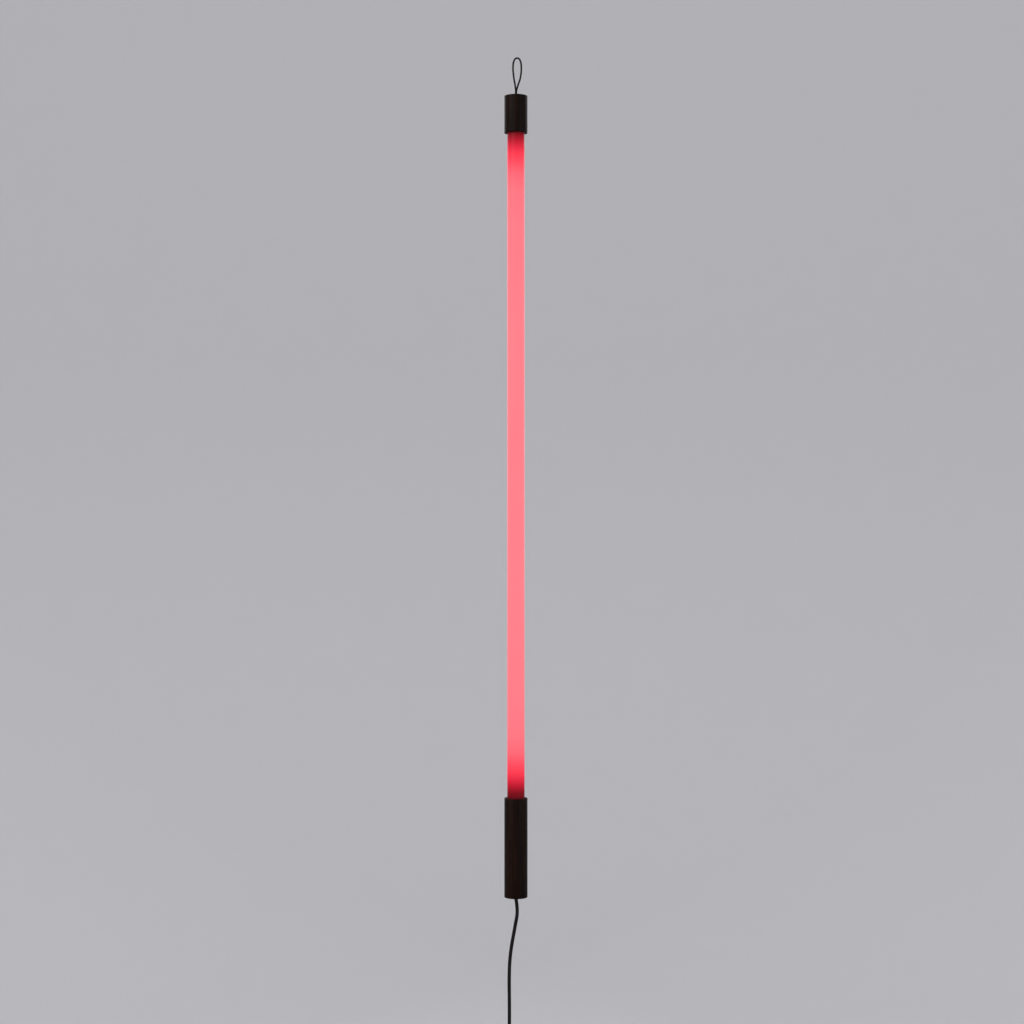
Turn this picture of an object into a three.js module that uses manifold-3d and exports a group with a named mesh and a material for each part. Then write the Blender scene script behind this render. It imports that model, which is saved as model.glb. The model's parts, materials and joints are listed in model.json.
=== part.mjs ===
// A hanging LED tube lamp: a coloured tube between two wooden ends, hung by a cord loop and fed by
// a mains lead with a rocker switch, its spare length in a tied hank.
// Millimetres, +Z up. The origin is where a hook bears, at the inside top of the loop, over the lamp's axis.
import * as THREE from "three";
import { mergeVertices } from "three/addons/utils/BufferGeometryUtils.js";
import Module from "manifold-3d";

const wasm = await Module();
wasm.setup();

// Driving dimensions of the lamp.
const GAP = 0.3; // between pieces that touch
const END_RADIUS = 19.5; // cap and handle
const END_CHAMFER = 0.8;
const CAP_TOP = -62.4;
const CAP_LENGTH = 62.1;
const CAP_ROOF = 12;
const TUBE_SHOWN = 1116.7;
const TUBE_RADIUS = 14.5;
const TUBE_WALL = 1.8;
const TUBE_IN_END = 40; // how far the tube goes into each end
const HANDLE_LENGTH = 166.2;
const BORE_RADIUS = TUBE_RADIUS + GAP;
const RING_GROOVE = 1.3; // the groove in each bore for the rubber ring on the tube
const RING_HEIGHT = 2.6;
const TOP_RING_IN = 12; // the grooves from the tube's ends
const BOTTOM_RING_IN = 9;
const GRUB_RADIUS = 2;
const GRUB_IN = 14; // the grub screws from the face that the tube comes out of
const GRUB_SUNK = 1.2;
const ROUND = 40; // sides of a large round piece
const SMALL_ROUND = 16; // sides of a small one

const CAP_BOTTOM = CAP_TOP - CAP_LENGTH;
const HANDLE_TOP = CAP_BOTTOM - TUBE_SHOWN;
const HANDLE_BOTTOM = HANDLE_TOP - HANDLE_LENGTH;
const SLEEVE_TOP = CAP_BOTTOM + TUBE_IN_END;
const SLEEVE_BOTTOM = HANDLE_TOP - TUBE_IN_END;

// The hanging loop and the way it is held in the cap.
const STRAND_RADIUS = 1.5;
const STRAND_SIDES = 8;
const STRAND_SPREAD = 1.65; // each strand from the axis, where the two lie together
const STRAND_TURN = 72; // degrees that the pair of strands is turned about the axis
const TURN_FROM = 8.5; // the pair turns flat from this height above the cap
const TURN_TO = 18.5; // to this one
const LOOP_LEAN = 2.05; // how far the open part of the loop leans to +X
const NECK = 5; // the height above the cap at which the loop bends when the lamp swings
const NECK_CLEAR = 2.6; // what each strand stops short of that bend
const BUSH_RADIUS = 5;
const BUSH_BORE = 3.5;
const BUSH_WALL = 0.8;
const CRIMP_RADIUS = 4.4;
const CRIMP_LENGTH = 6;
const WASHER_RADIUS = 6;
const WASHER_THICK = 1;

// Height above the cap and half width of the loop's centreline, from its top down to the neck.
const LOOP_SIDE = [
  [63, 3.0],
  [60.1, 4.9],
  [55.4, 6.4],
  [48.4, 7.0],
  [41.4, 6.8],
  [34.5, 6.0],
  [27.5, 4.8],
  [20.5, 2.95],
  [16.5, 2.05],
  [13, 1.7],
  [10, STRAND_SPREAD],
  [NECK + NECK_CLEAR, STRAND_SPREAD],
];
const LOOP_TOP = 63.9;
const LEAN_FROM = 2; // the lean grows from this height above the cap
const LEAN_TO = 34.5; // to this one

// The lead and what is on it.
const CORD_RADIUS = 3;
const CORD_SIDES = 8;
const CORD_DROP_X = -11; // the lead hangs down this far to the side of the axis
const RELIEF_BELOW = 3.5; // the strain relief below the handle
const RELIEF_LENGTH = 23;
const RELIEF_TIP = 4.4; // its radius at the lead's exit, at its waist in the base and at its flange
const RELIEF_WAIST = 5.9;
const RELIEF_FLANGE = 8;
const RELIEF_FLANGE_THICK = 2.5;

// Depth below the handle and place in x of the lead's centreline, which keeps a little of its old bends.
const UPPER_ROUTE = [
  [RELIEF_BELOW + 2 * GAP, 0.3],
  [8.3, 0.9],
  [18, 1.9],
  [25, 2.1],
  [32, 1.6],
  [45, -0.7],
  [59, -3.2],
  [72, -5.6],
  [86, -7.9],
  [99, -9.5],
  [113, -10.6],
  [126, -11.1],
  [139, -11.3],
  [153, -11.3],
  [167, -11.1],
  [182, CORD_DROP_X],
  [196, CORD_DROP_X],
  [210, CORD_DROP_X],
];

const SWITCH_TOP = HANDLE_BOTTOM - 223;
const SWITCH_LENGTH = 58;
const SWITCH_WIDTH = 26;
const SWITCH_DEPTH = 20;
const SWITCH_WALL = 1.8;
const SWITCH_CORNER = 6;
const SWITCH_MIDDLE = SWITCH_TOP - SWITCH_LENGTH / 2;
const SWITCH_BOTTOM = SWITCH_TOP - SWITCH_LENGTH;
const ROCKER_WIDTH = 12;
const ROCKER_LENGTH = 20;
const ROCKER_TILT = 9; // degrees, at rest
const ROCKER_AXIS_Y = -5.5;
const PIN_RADIUS = 1;
const SCREW_OFFSET = 21; // switch screws from the switch's middle
const SCREW_X = 7.2;
const SCREW_RADIUS = 1;
const SCREW_HEAD_RADIUS = 1.9;
const BOSS_RADIUS = 2.8;

const LEAD_LENGTH = 14; // from the switch to the hank
const HANK_END_RADIUS = 18; // centreline of the hank's end loops
const HANK_WAIST = 10; // half width of its centreline at the tie
const HANK_LOOP_Z = 30; // from the hank's middle to the centres of its end loops
const HANK_PITCH = 6.15;
const HANK_TURNS = 6;
const HANK_FRONT = -5;
const HANK_TOP = SWITCH_BOTTOM - LEAD_LENGTH;
const HANK_OUTER = HANK_END_RADIUS + CORD_RADIUS + GAP;
const HANK_MIDDLE = HANK_TOP - HANK_LOOP_Z - HANK_OUTER;
const HANK_DEPTH = (HANK_TURNS + 1) * HANK_PITCH + CORD_RADIUS;
const TIE_WIDTH = 16;
const TIE_THICK = 1.6;
const TIE_CORNER = 2;
const TIE_ROOM = 1.5; // the hank is wider at the tie's edges than at its waist

const TAIL_X = CORD_DROP_X - HANK_END_RADIUS;
const TAIL_Y = HANK_TURNS * HANK_PITCH;
const TAIL_TOP = HANK_MIDDLE - HANK_LOOP_Z - 15.6; // below the end loop's round side
const TAIL_LENGTH = 4;
const PLUG_TOP = TAIL_TOP - TAIL_LENGTH - GAP;
const PLUG_RELIEF = 20;
const PLUG_LENGTH = 34;
const PLUG_WIDTH = 35;
const PLUG_THICK = 13.7;
const PLUG_FACE = PLUG_TOP - PLUG_RELIEF - PLUG_LENGTH;
const PLUG_PIN_RADIUS = 2;
const PLUG_PIN_LENGTH = 19;
const PLUG_PIN_SPREAD = 9.3; // each pin from the plug's middle
const PLUG_PIN_SOCKET = 6;

// What the tube holds.
const CARRIER_WIDTH = 16;
const CARRIER_DEPTH = 9;
const END_PLUG_LENGTH = 10;
const CARRIER_TOP = SLEEVE_TOP - END_PLUG_LENGTH - GAP;
const CARRIER_BOTTOM = SLEEVE_BOTTOM + END_PLUG_LENGTH + GAP;
const LIT_TOP = CAP_BOTTOM - 30;
const LIT_BOTTOM = HANDLE_TOP + 38;

// What the handle holds.
const BASE_THICK = 5;
const BASE_RADIUS = 16.6;
const TRAY_RADIUS = BORE_RADIUS - GAP;
const TRAY_TOP = SLEEVE_BOTTOM - 10;
const TRAY_BOTTOM = HANDLE_BOTTOM + BASE_THICK + GAP;
const TRAY_FLOOR = 2; // the tray's floor reaches from the rear wall to this y
const BOARD_THICK = 1.6;
const BASE_SCREW_X = 10.5;
const BASE_SHANK_RADIUS = 1.25;
const BASE_HEAD_RADIUS = 2.4;
const BASE_HEAD_THICK = 1.4;
const BASE_HOLE = 6.6; // radius of the hole for the strain relief
const JACKET_ABOVE_BASE = 36; // the lead's jacket ends here, above the tray's bottom
const CLAMP_MIDDLE = TRAY_BOTTOM + 27.5;
const CLAMP_SCREW_X = 7.5;
const LED_LEAD_RADIUS = 0.8;
const MAINS_LEAD_RADIUS = 0.9;
const LED_LEAD_X = 4;
const LED_LEAD_Y = -7.2;

const COLOURS = {
  wood: [0x2a1710, 0.5, 0],
  red_tube: [0xd02034, 0.3, 0],
  loop_cord: [0x0d0c0e, 0.9, 0],
  black_plastic: [0x121113, 0.5, 0],
  lead_jacket: [0x151216, 0.75, 0],
  aluminium: [0xb8babd, 0.4, 1],
  steel: [0xa5a5a6, 0.35, 1],
  brass: [0xc49a4a, 0.35, 1],
  board: [0x1c4a2c, 0.6, 0],
  phosphor: [0xf0d060, 0.6, 0],
  rubber: [0x161616, 0.9, 0],
  white_plastic: [0xe8e6e0, 0.5, 0],
  yellow_tape: [0xd8b030, 0.5, 0],
  lead_brown: [0x5a3018, 0.6, 0],
  lead_blue: [0x1c3f8c, 0.6, 0],
  lead_red: [0xa81c1c, 0.6, 0],
};

const lamp = new THREE.Group();

function add(name, geometry, colour, [x, y, z] = [0, 0, 0]) {
  const [color, roughness, metalness] = COLOURS[colour];
  const material = new THREE.MeshStandardMaterial({ color, roughness, metalness });
  const mesh = new THREE.Mesh(geometry, material);
  mesh.name = name;
  mesh.position.set(x, y, z);
  lamp.add(mesh);
  return mesh;
}

// A solid of revolution about Z from [radius, z] pairs, closed on itself or on the axis.
function turned(profile, sides = ROUND) {
  const points = profile.map(([r, z]) => new THREE.Vector2(r, z));
  const geometry = new THREE.LatheGeometry(points, sides);
  geometry.rotateX(Math.PI / 2);
  return geometry;
}

function rod(radius, bottom, top, sides = SMALL_ROUND) {
  const profile = [
    [0, bottom],
    [radius, bottom],
    [radius, top],
    [0, top],
  ];
  return turned(profile, sides);
}

function ring(inner, outer, bottom, top, sides = ROUND) {
  const profile = [
    [inner, bottom],
    [outer, bottom],
    [outer, top],
    [inner, top],
    [inner, bottom],
  ];
  return turned(profile, sides);
}

function block(width, depth, bottom, top, x = 0, y = 0) {
  const geometry = new THREE.BoxGeometry(width, depth, top - bottom);
  geometry.translate(x, y, (bottom + top) / 2);
  return geometry;
}

// A rod along Y, for screws and pins that enter from the rear or the front.
function crossRod(radius, front, back, x, z, sides = SMALL_ROUND) {
  const geometry = rod(radius, front, back, sides);
  geometry.rotateX(-Math.PI / 2);
  geometry.translate(x, 0, z);
  return geometry;
}

// A tube along a list of points.
function tube(points, radius, sides, steps) {
  const section = new THREE.Shape();
  for (let i = 0; i < sides; i += 1) {
    const angle = (i * 2 * Math.PI) / sides;
    const put = i === 0 ? "moveTo" : "lineTo";
    section[put](radius * Math.cos(angle), radius * Math.sin(angle));
  }
  section.closePath();
  const route = new THREE.CatmullRomCurve3(points, false, "centripetal");
  return new THREE.ExtrudeGeometry(section, { steps, extrudePath: route, curveSegments: 1 });
}

// A rectangle with rounded corners, centred.
function roundedRectangle(width, height, corner) {
  const [w, h] = [width / 2 - corner, height / 2 - corner];
  const shape = new THREE.Shape();
  shape.absarc(w, h, corner, 0, Math.PI / 2);
  shape.absarc(-w, h, corner, Math.PI / 2, Math.PI);
  shape.absarc(-w, -h, corner, Math.PI, 1.5 * Math.PI);
  shape.absarc(w, -h, corner, 1.5 * Math.PI, 2 * Math.PI);
  shape.closePath();
  return shape;
}

// A slab of an outline drawn in x and z, between two values of y.
function slab(shape, front, back, curveSegments = 4) {
  const depth = back - front;
  const geometry = new THREE.ExtrudeGeometry(shape, { depth, bevelEnabled: false, curveSegments });
  geometry.rotateX(Math.PI / 2);
  geometry.translate(0, back, 0);
  return geometry;
}

function solidOf(geometry) {
  const plain = geometry.clone();
  plain.deleteAttribute("normal");
  plain.deleteAttribute("uv");
  const merged = mergeVertices(plain, 1e-3);
  const vertProperties = merged.attributes.position.array;
  const triVerts = new Uint32Array(merged.index.array);
  return new wasm.Manifold(new wasm.Mesh({ numProp: 3, vertProperties, triVerts }));
}

function geometryOf(solid) {
  const mesh = solid.getMesh();
  const geometry = new THREE.BufferGeometry();
  geometry.setAttribute("position", new THREE.BufferAttribute(mesh.vertProperties, mesh.numProp));
  geometry.setIndex(new THREE.BufferAttribute(mesh.triVerts, 1));
  geometry.computeVertexNormals();
  return geometry;
}

// The first geometry with others joined on, then cut by more.
function shaped(geometry, joined = [], cuts = []) {
  let solid = solidOf(geometry);
  for (const piece of joined) solid = solid.add(solidOf(piece));
  for (const piece of cuts) solid = solid.subtract(solidOf(piece));
  return geometryOf(solid);
}

function smoothstep(from, to, value) {
  const t = Math.min(Math.max((value - from) / (to - from), 0), 1);
  return t * t * (3 - 2 * t);
}

// A point of the loop at a height above the cap, to one side (-1 or 1) of its middle line.
function loopPoint(height, half, side) {
  const flat = smoothstep(TURN_FROM, TURN_TO, height);
  const turn = THREE.MathUtils.degToRad(STRAND_TURN) * (1 - flat);
  const x = LOOP_LEAN * smoothstep(LEAN_FROM, LEAN_TO, height) + side * half * Math.cos(turn);
  return new THREE.Vector3(x, side * half * Math.sin(turn), CAP_TOP + height);
}

function makeLoop() {
  const left = LOOP_SIDE.map(([height, half]) => loopPoint(height, half, -1));
  const right = LOOP_SIDE.map(([height, half]) => loopPoint(height, half, 1));
  const top = new THREE.Vector3(LOOP_LEAN, 0, CAP_TOP + LOOP_TOP);
  const points = [...left.reverse(), top, ...right];
  add("hanging_loop", tube(points, STRAND_RADIUS, STRAND_SIDES, 44), "loop_cord");
}

// The two strands below the bend, the crimp that joins them and the washer and bush that it hangs on.
function makeLoopHolder() {
  const washerTop = CAP_TOP - CAP_ROOF - GAP;
  const crimpTop = washerTop - WASHER_THICK - GAP;
  const crimpBottom = crimpTop - CRIMP_LENGTH;
  const turn = THREE.MathUtils.degToRad(STRAND_TURN);
  const [x, y] = [STRAND_SPREAD * Math.cos(turn), STRAND_SPREAD * Math.sin(turn)];
  const legs = { loop_leg_left: -1, loop_leg_right: 1 };
  const holes = [];
  for (const [name, side] of Object.entries(legs)) {
    const leg = rod(STRAND_RADIUS, crimpBottom - 1, CAP_TOP + NECK - NECK_CLEAR, STRAND_SIDES);
    add(name, leg.translate(side * x, side * y, 0), "loop_cord");
    const hole = rod(STRAND_RADIUS + GAP, crimpBottom - 1, crimpTop + 1, STRAND_SIDES);
    holes.push(hole.translate(side * x, side * y, 0));
  }
  add("loop_crimp", shaped(rod(CRIMP_RADIUS, crimpBottom, crimpTop, 20), [], holes), "steel");
  const washer = ring(BUSH_BORE, WASHER_RADIUS, washerTop - WASHER_THICK, washerTop, 24);
  add("loop_washer", washer, "steel");
  const neck = BUSH_BORE + BUSH_WALL;
  const bush = [
    [BUSH_BORE, CAP_TOP - CAP_ROOF],
    [neck, CAP_TOP - CAP_ROOF],
    [neck, CAP_TOP + GAP],
    [BUSH_RADIUS, CAP_TOP + GAP],
    [BUSH_RADIUS, CAP_TOP + 1],
    [BUSH_BORE, CAP_TOP + 1],
    [BUSH_BORE, CAP_TOP - CAP_ROOF],
  ];
  add("loop_bush", turned(bush, 24), "black_plastic");
}

// A blind grub screw in the rear wall of an end, and the threaded hole that it needs.
function rearGrubScrew(name, z) {
  const front = BORE_RADIUS + 0.1;
  add(name, crossRod(GRUB_RADIUS, front, END_RADIUS - GRUB_SUNK, 0, z), "steel");
  return crossRod(GRUB_RADIUS + GAP, 0, END_RADIUS + 1, 0, z);
}

// The wooden cap: a chamfered cup with a ring groove in its bore and a hole in its roof.
function makeCap() {
  const c = END_CHAMFER;
  const roofBottom = CAP_TOP - CAP_ROOF;
  const hole = BUSH_BORE + BUSH_WALL + GAP;
  const groove = SLEEVE_TOP - TOP_RING_IN;
  const profile = [
    [hole, roofBottom],
    [BORE_RADIUS, roofBottom],
    [BORE_RADIUS, groove + RING_HEIGHT],
    [BORE_RADIUS + RING_GROOVE, groove + RING_HEIGHT],
    [BORE_RADIUS + RING_GROOVE, groove],
    [BORE_RADIUS, groove],
    [BORE_RADIUS, CAP_BOTTOM],
    [END_RADIUS - c, CAP_BOTTOM],
    [END_RADIUS, CAP_BOTTOM + c],
    [END_RADIUS, CAP_TOP - c],
    [END_RADIUS - c, CAP_TOP],
    [hole, CAP_TOP],
    [hole, roofBottom],
  ];
  const screwHole = rearGrubScrew("cap_grub_screw", CAP_BOTTOM + GRUB_IN);
  add("top_cap", shaped(turned(profile), [], [screwHole]), "wood");
  addSleeveRing("top_sleeve_ring", groove);
}

function addSleeveRing(name, groove) {
  const outer = BORE_RADIUS + RING_GROOVE - GAP;
  const bottom = groove + GAP;
  const top = groove + RING_HEIGHT - GAP;
  add(name, ring(TUBE_RADIUS + GAP, outer, bottom, top), "rubber");
}

// The wooden handle: a chamfered pipe with a ring groove at its top and a seat for the base at its bottom.
function makeHandle() {
  const c = END_CHAMFER;
  const seat = BASE_RADIUS + GAP;
  const seatTop = HANDLE_BOTTOM + BASE_THICK + GAP;
  const groove = SLEEVE_BOTTOM + BOTTOM_RING_IN;
  const profile = [
    [seat, HANDLE_BOTTOM],
    [END_RADIUS - c, HANDLE_BOTTOM],
    [END_RADIUS, HANDLE_BOTTOM + c],
    [END_RADIUS, HANDLE_TOP - c],
    [END_RADIUS - c, HANDLE_TOP],
    [BORE_RADIUS, HANDLE_TOP],
    [BORE_RADIUS, groove + RING_HEIGHT],
    [BORE_RADIUS + RING_GROOVE, groove + RING_HEIGHT],
    [BORE_RADIUS + RING_GROOVE, groove],
    [BORE_RADIUS, groove],
    [BORE_RADIUS, seatTop],
    [seat, seatTop],
    [seat, HANDLE_BOTTOM],
  ];
  const screwHole = rearGrubScrew("handle_grub_screw", HANDLE_TOP - GRUB_IN);
  add("handle", shaped(turned(profile), [], [screwHole]), "wood");
  addSleeveRing("bottom_sleeve_ring", groove);
}

// The disc that closes the handle, with its two screws.
function makeBase() {
  const disc = turned([
    [0, HANDLE_BOTTOM],
    [BASE_RADIUS - 0.6, HANDLE_BOTTOM],
    [BASE_RADIUS, HANDLE_BOTTOM + 0.6],
    [BASE_RADIUS, HANDLE_BOTTOM + BASE_THICK],
    [0, HANDLE_BOTTOM + BASE_THICK],
  ]);
  const below = HANDLE_BOTTOM - 1;
  const above = HANDLE_BOTTOM + BASE_THICK + 1;
  const cuts = [rod(BASE_HOLE, below, above, 24)];
  const screws = { base_screw_left: -BASE_SCREW_X, base_screw_right: BASE_SCREW_X };
  for (const [name, x] of Object.entries(screws)) {
    const headBottom = HANDLE_BOTTOM + GAP;
    const headTop = headBottom + BASE_HEAD_THICK;
    cuts.push(rod(BASE_SHANK_RADIUS + GAP, below, above).translate(x, 0, 0));
    cuts.push(rod(BASE_HEAD_RADIUS + GAP, below, headTop + GAP).translate(x, 0, 0));
    const screw = turned(
      [
        [0, headBottom],
        [BASE_HEAD_RADIUS, headBottom],
        [BASE_HEAD_RADIUS, headTop],
        [BASE_SHANK_RADIUS, headTop],
        [BASE_SHANK_RADIUS, TRAY_BOTTOM + 7],
        [0, TRAY_BOTTOM + 7],
      ],
      SMALL_ROUND,
    );
    add(name, screw.translate(x, 0, 0), "steel");
  }
  add("handle_base", shaped(disc, [], cuts), "wood");
}

// The tapered strain relief, seated in the base from inside, and the stub of the lead that it holds.
function makeRelief() {
  const bottom = HANDLE_BOTTOM - RELIEF_BELOW;
  const top = bottom + RELIEF_LENGTH;
  const bore = CORD_RADIUS + GAP;
  const flange = HANDLE_BOTTOM + BASE_THICK + GAP;
  const profile = [
    [bore, bottom],
    [RELIEF_TIP, bottom],
    [RELIEF_TIP + 0.4, bottom + 1],
    [RELIEF_WAIST, flange],
    [RELIEF_FLANGE, flange],
    [RELIEF_FLANGE, flange + RELIEF_FLANGE_THICK],
    [RELIEF_WAIST, flange + RELIEF_FLANGE_THICK],
    [5, top],
    [bore, top],
    [bore, bottom],
  ];
  add("cord_gland", turned(profile, 24), "black_plastic");
  add("cord_inner", rod(CORD_RADIUS, bottom, TRAY_BOTTOM + JACKET_ABOVE_BASE, 12), "lead_jacket");
}

function makeTubeParts() {
  const inner = TUBE_RADIUS - TUBE_WALL;
  add("colour_sleeve", ring(inner, TUBE_RADIUS, SLEEVE_BOTTOM, SLEEVE_TOP, 48), "red_tube");
  const plugRadius = inner - GAP;
  const topPlug = rod(plugRadius, SLEEVE_TOP - END_PLUG_LENGTH, SLEEVE_TOP, 32);
  add("top_end_plug", topPlug, "white_plastic");
  const bottomPlug = rod(plugRadius, SLEEVE_BOTTOM, SLEEVE_BOTTOM + END_PLUG_LENGTH, 32);
  const leadHoles = [-LED_LEAD_X, LED_LEAD_X].map((x) => ledLeadHole(x));
  add("bottom_end_plug", shaped(bottomPlug, [], leadHoles), "white_plastic");

  // A channel, open to the rear, whose web carries the board.
  const [w, d, web] = [CARRIER_WIDTH / 2, CARRIER_DEPTH / 2, 2];
  const outline = new THREE.Shape();
  outline.moveTo(-w, d);
  outline.lineTo(-w, -d);
  outline.lineTo(w, -d);
  outline.lineTo(w, d);
  outline.lineTo(w - web, d);
  outline.lineTo(w - web, -d + web);
  outline.lineTo(-w + web, -d + web);
  outline.lineTo(-w + web, d);
  outline.closePath();
  const depth = CARRIER_TOP - CARRIER_BOTTOM;
  const carrier = new THREE.ExtrudeGeometry(outline, { depth, bevelEnabled: false });
  add("led_carrier", carrier, "aluminium", [0, 0, CARRIER_BOTTOM]);
  const boardFront = -d - GAP - BOARD_THICK;
  const boardMiddle = -d - GAP - BOARD_THICK / 2;
  const board = block(12, BOARD_THICK, CARRIER_BOTTOM + 4, CARRIER_TOP - 4, 0, boardMiddle);
  add("led_board", board, "white_plastic");
  const strip = block(5, 0.8, LIT_BOTTOM, LIT_TOP, 0, boardFront - GAP - 0.4);
  add("led_phosphor_strip", strip, "phosphor");
}

function ledLeadHole(x) {
  const hole = rod(LED_LEAD_RADIUS + GAP, SLEEVE_BOTTOM - 1, SLEEVE_BOTTOM + END_PLUG_LENGTH + 1, 12);
  return hole.translate(x, LED_LEAD_Y, 0);
}

// The supply in the handle: a tray in the rear of the bore, the board on it, and what stands on the board.
function makeSupply() {
  const height = TRAY_TOP - TRAY_BOTTOM;
  const outline = new THREE.Shape();
  const half = Math.asin(TRAY_FLOOR / TRAY_RADIUS);
  outline.absarc(0, 0, TRAY_RADIUS, half, Math.PI - half);
  outline.closePath();
  const settings = { depth: height, bevelEnabled: false, curveSegments: 16 };
  const solidTray = new THREE.ExtrudeGeometry(outline, settings);
  solidTray.translate(0, 0, TRAY_BOTTOM);
  const hollow = block(20, 12, TRAY_BOTTOM + 12, TRAY_TOP + 1, 0, TRAY_FLOOR + 8);
  const foot = block(27, 6, TRAY_BOTTOM, TRAY_BOTTOM + 8, 0, 0);
  const reliefRoom = rod(RELIEF_FLANGE + GAP, TRAY_BOTTOM - 1, TRAY_BOTTOM + 9, 24);
  const taperRoom = rod(RELIEF_WAIST + GAP, TRAY_BOTTOM, TRAY_BOTTOM + 17, 24);
  const cordRoom = rod(CORD_RADIUS + GAP, TRAY_BOTTOM, TRAY_BOTTOM + JACKET_ABOVE_BASE + 2, SMALL_ROUND);
  const screwRoom = [-BASE_SCREW_X, BASE_SCREW_X].map((x) =>
    rod(BASE_SHANK_RADIUS + GAP, TRAY_BOTTOM - 1, TRAY_BOTTOM + 10).translate(x, 0, 0),
  );
  const clampRoom = [-CLAMP_SCREW_X, CLAMP_SCREW_X].map((x) =>
    crossRod(SCREW_RADIUS + GAP, 0, 20, x, CLAMP_MIDDLE, 12),
  );
  const rooms = [hollow, reliefRoom, taperRoom, cordRoom, ...screwRoom, ...clampRoom];
  add("driver_tray", shaped(solidTray, [foot], rooms), "black_plastic");

  const boardBottom = TRAY_BOTTOM + 44;
  const boardBack = TRAY_FLOOR - GAP;
  const boardFront = boardBack - BOARD_THICK;
  const boardMiddle = (boardBack + boardFront) / 2;
  add("driver_board", block(22, BOARD_THICK, boardBottom, TRAY_TOP - 2, 0, boardMiddle), "board");
  const partBack = boardFront - GAP;
  const onBoard = (width, depth, bottom, tall, x) =>
    block(width, depth, bottom, bottom + tall, x, partBack - depth / 2);
  add("terminal_block", onBoard(16, 7, boardBottom + 2, 9, 0), "white_plastic");
  add("driver_fuse", onBoard(5, 5, boardBottom + 14, 10, -6), "white_plastic");
  add("driver_inductor", crossRod(3.5, partBack - 8, partBack, 5, boardBottom + 19), "board");
  add("driver_transformer", onBoard(15, 9, boardBottom + 27, 14, 0), "yellow_tape");
  const capacitor = rod(4, boardBottom + 43, boardBottom + 55).translate(0, partBack - 4, 0);
  add("driver_capacitor", capacitor, "black_plastic");
  return { boardBottom, partBack };
}

// The clamp over the lead's jacket, and the thin leads from the lead to the supply and from it to the strip.
function makeLeads({ boardBottom, partBack }) {
  const plate = block(20, 2.4, CLAMP_MIDDLE - 3.5, CLAMP_MIDDLE + 3.5, 0, -CORD_RADIUS - GAP - 1.2);
  const screws = { clamp_screw_left: -CLAMP_SCREW_X, clamp_screw_right: CLAMP_SCREW_X };
  const holes = [];
  for (const [name, x] of Object.entries(screws)) {
    const front = -CORD_RADIUS - GAP - 2;
    add(name, crossRod(SCREW_RADIUS, front, TRAY_FLOOR + 2, x, CLAMP_MIDDLE, 12), "steel");
    holes.push(crossRod(SCREW_RADIUS + GAP, -20, 20, x, CLAMP_MIDDLE, 12));
  }
  add("cord_clamp", shaped(plate, [], holes), "white_plastic");

  const jacketTop = TRAY_BOTTOM + JACKET_ABOVE_BASE + GAP;
  const blockBottom = boardBottom + 2 - GAP;
  const mains = { mains_lead_live: [-1.4, -4, "lead_brown"], mains_lead_neutral: [1.4, 4, "lead_blue"] };
  for (const [name, [start, end, colour]] of Object.entries(mains)) {
    const points = [
      new THREE.Vector3(start, 0, jacketTop),
      new THREE.Vector3(start, -0.4, jacketTop + 2),
      new THREE.Vector3(end, partBack - 3.2, blockBottom - 2),
      new THREE.Vector3(end, partBack - 3.5, blockBottom),
    ];
    add(name, tube(points, MAINS_LEAD_RADIUS, STRAND_SIDES, 6), colour);
  }
  const stripLeads = {
    led_lead_positive: [-LED_LEAD_X, "lead_red"],
    led_lead_negative: [LED_LEAD_X, "black_plastic"],
  };
  for (const [name, [x, colour]] of Object.entries(stripLeads)) {
    const points = [
      new THREE.Vector3(x, partBack - 1, boardBottom + 57),
      new THREE.Vector3(x, partBack - 1.4, boardBottom + 59),
      new THREE.Vector3(x, LED_LEAD_Y, SLEEVE_BOTTOM - 3),
      new THREE.Vector3(x, LED_LEAD_Y, SLEEVE_BOTTOM),
      new THREE.Vector3(x, LED_LEAD_Y, CARRIER_BOTTOM + 4 - GAP),
    ];
    add(name, tube(points, LED_LEAD_RADIUS, STRAND_SIDES, 14), colour);
  }
}

function makeUpperCord() {
  const points = UPPER_ROUTE.map(([depth, x]) => new THREE.Vector3(x, 0, HANDLE_BOTTOM - depth));
  points.push(new THREE.Vector3(CORD_DROP_X, 0, SWITCH_TOP + GAP));
  add("cord_upper", tube(points, CORD_RADIUS, CORD_SIDES, 36), "lead_jacket");
}

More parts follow.
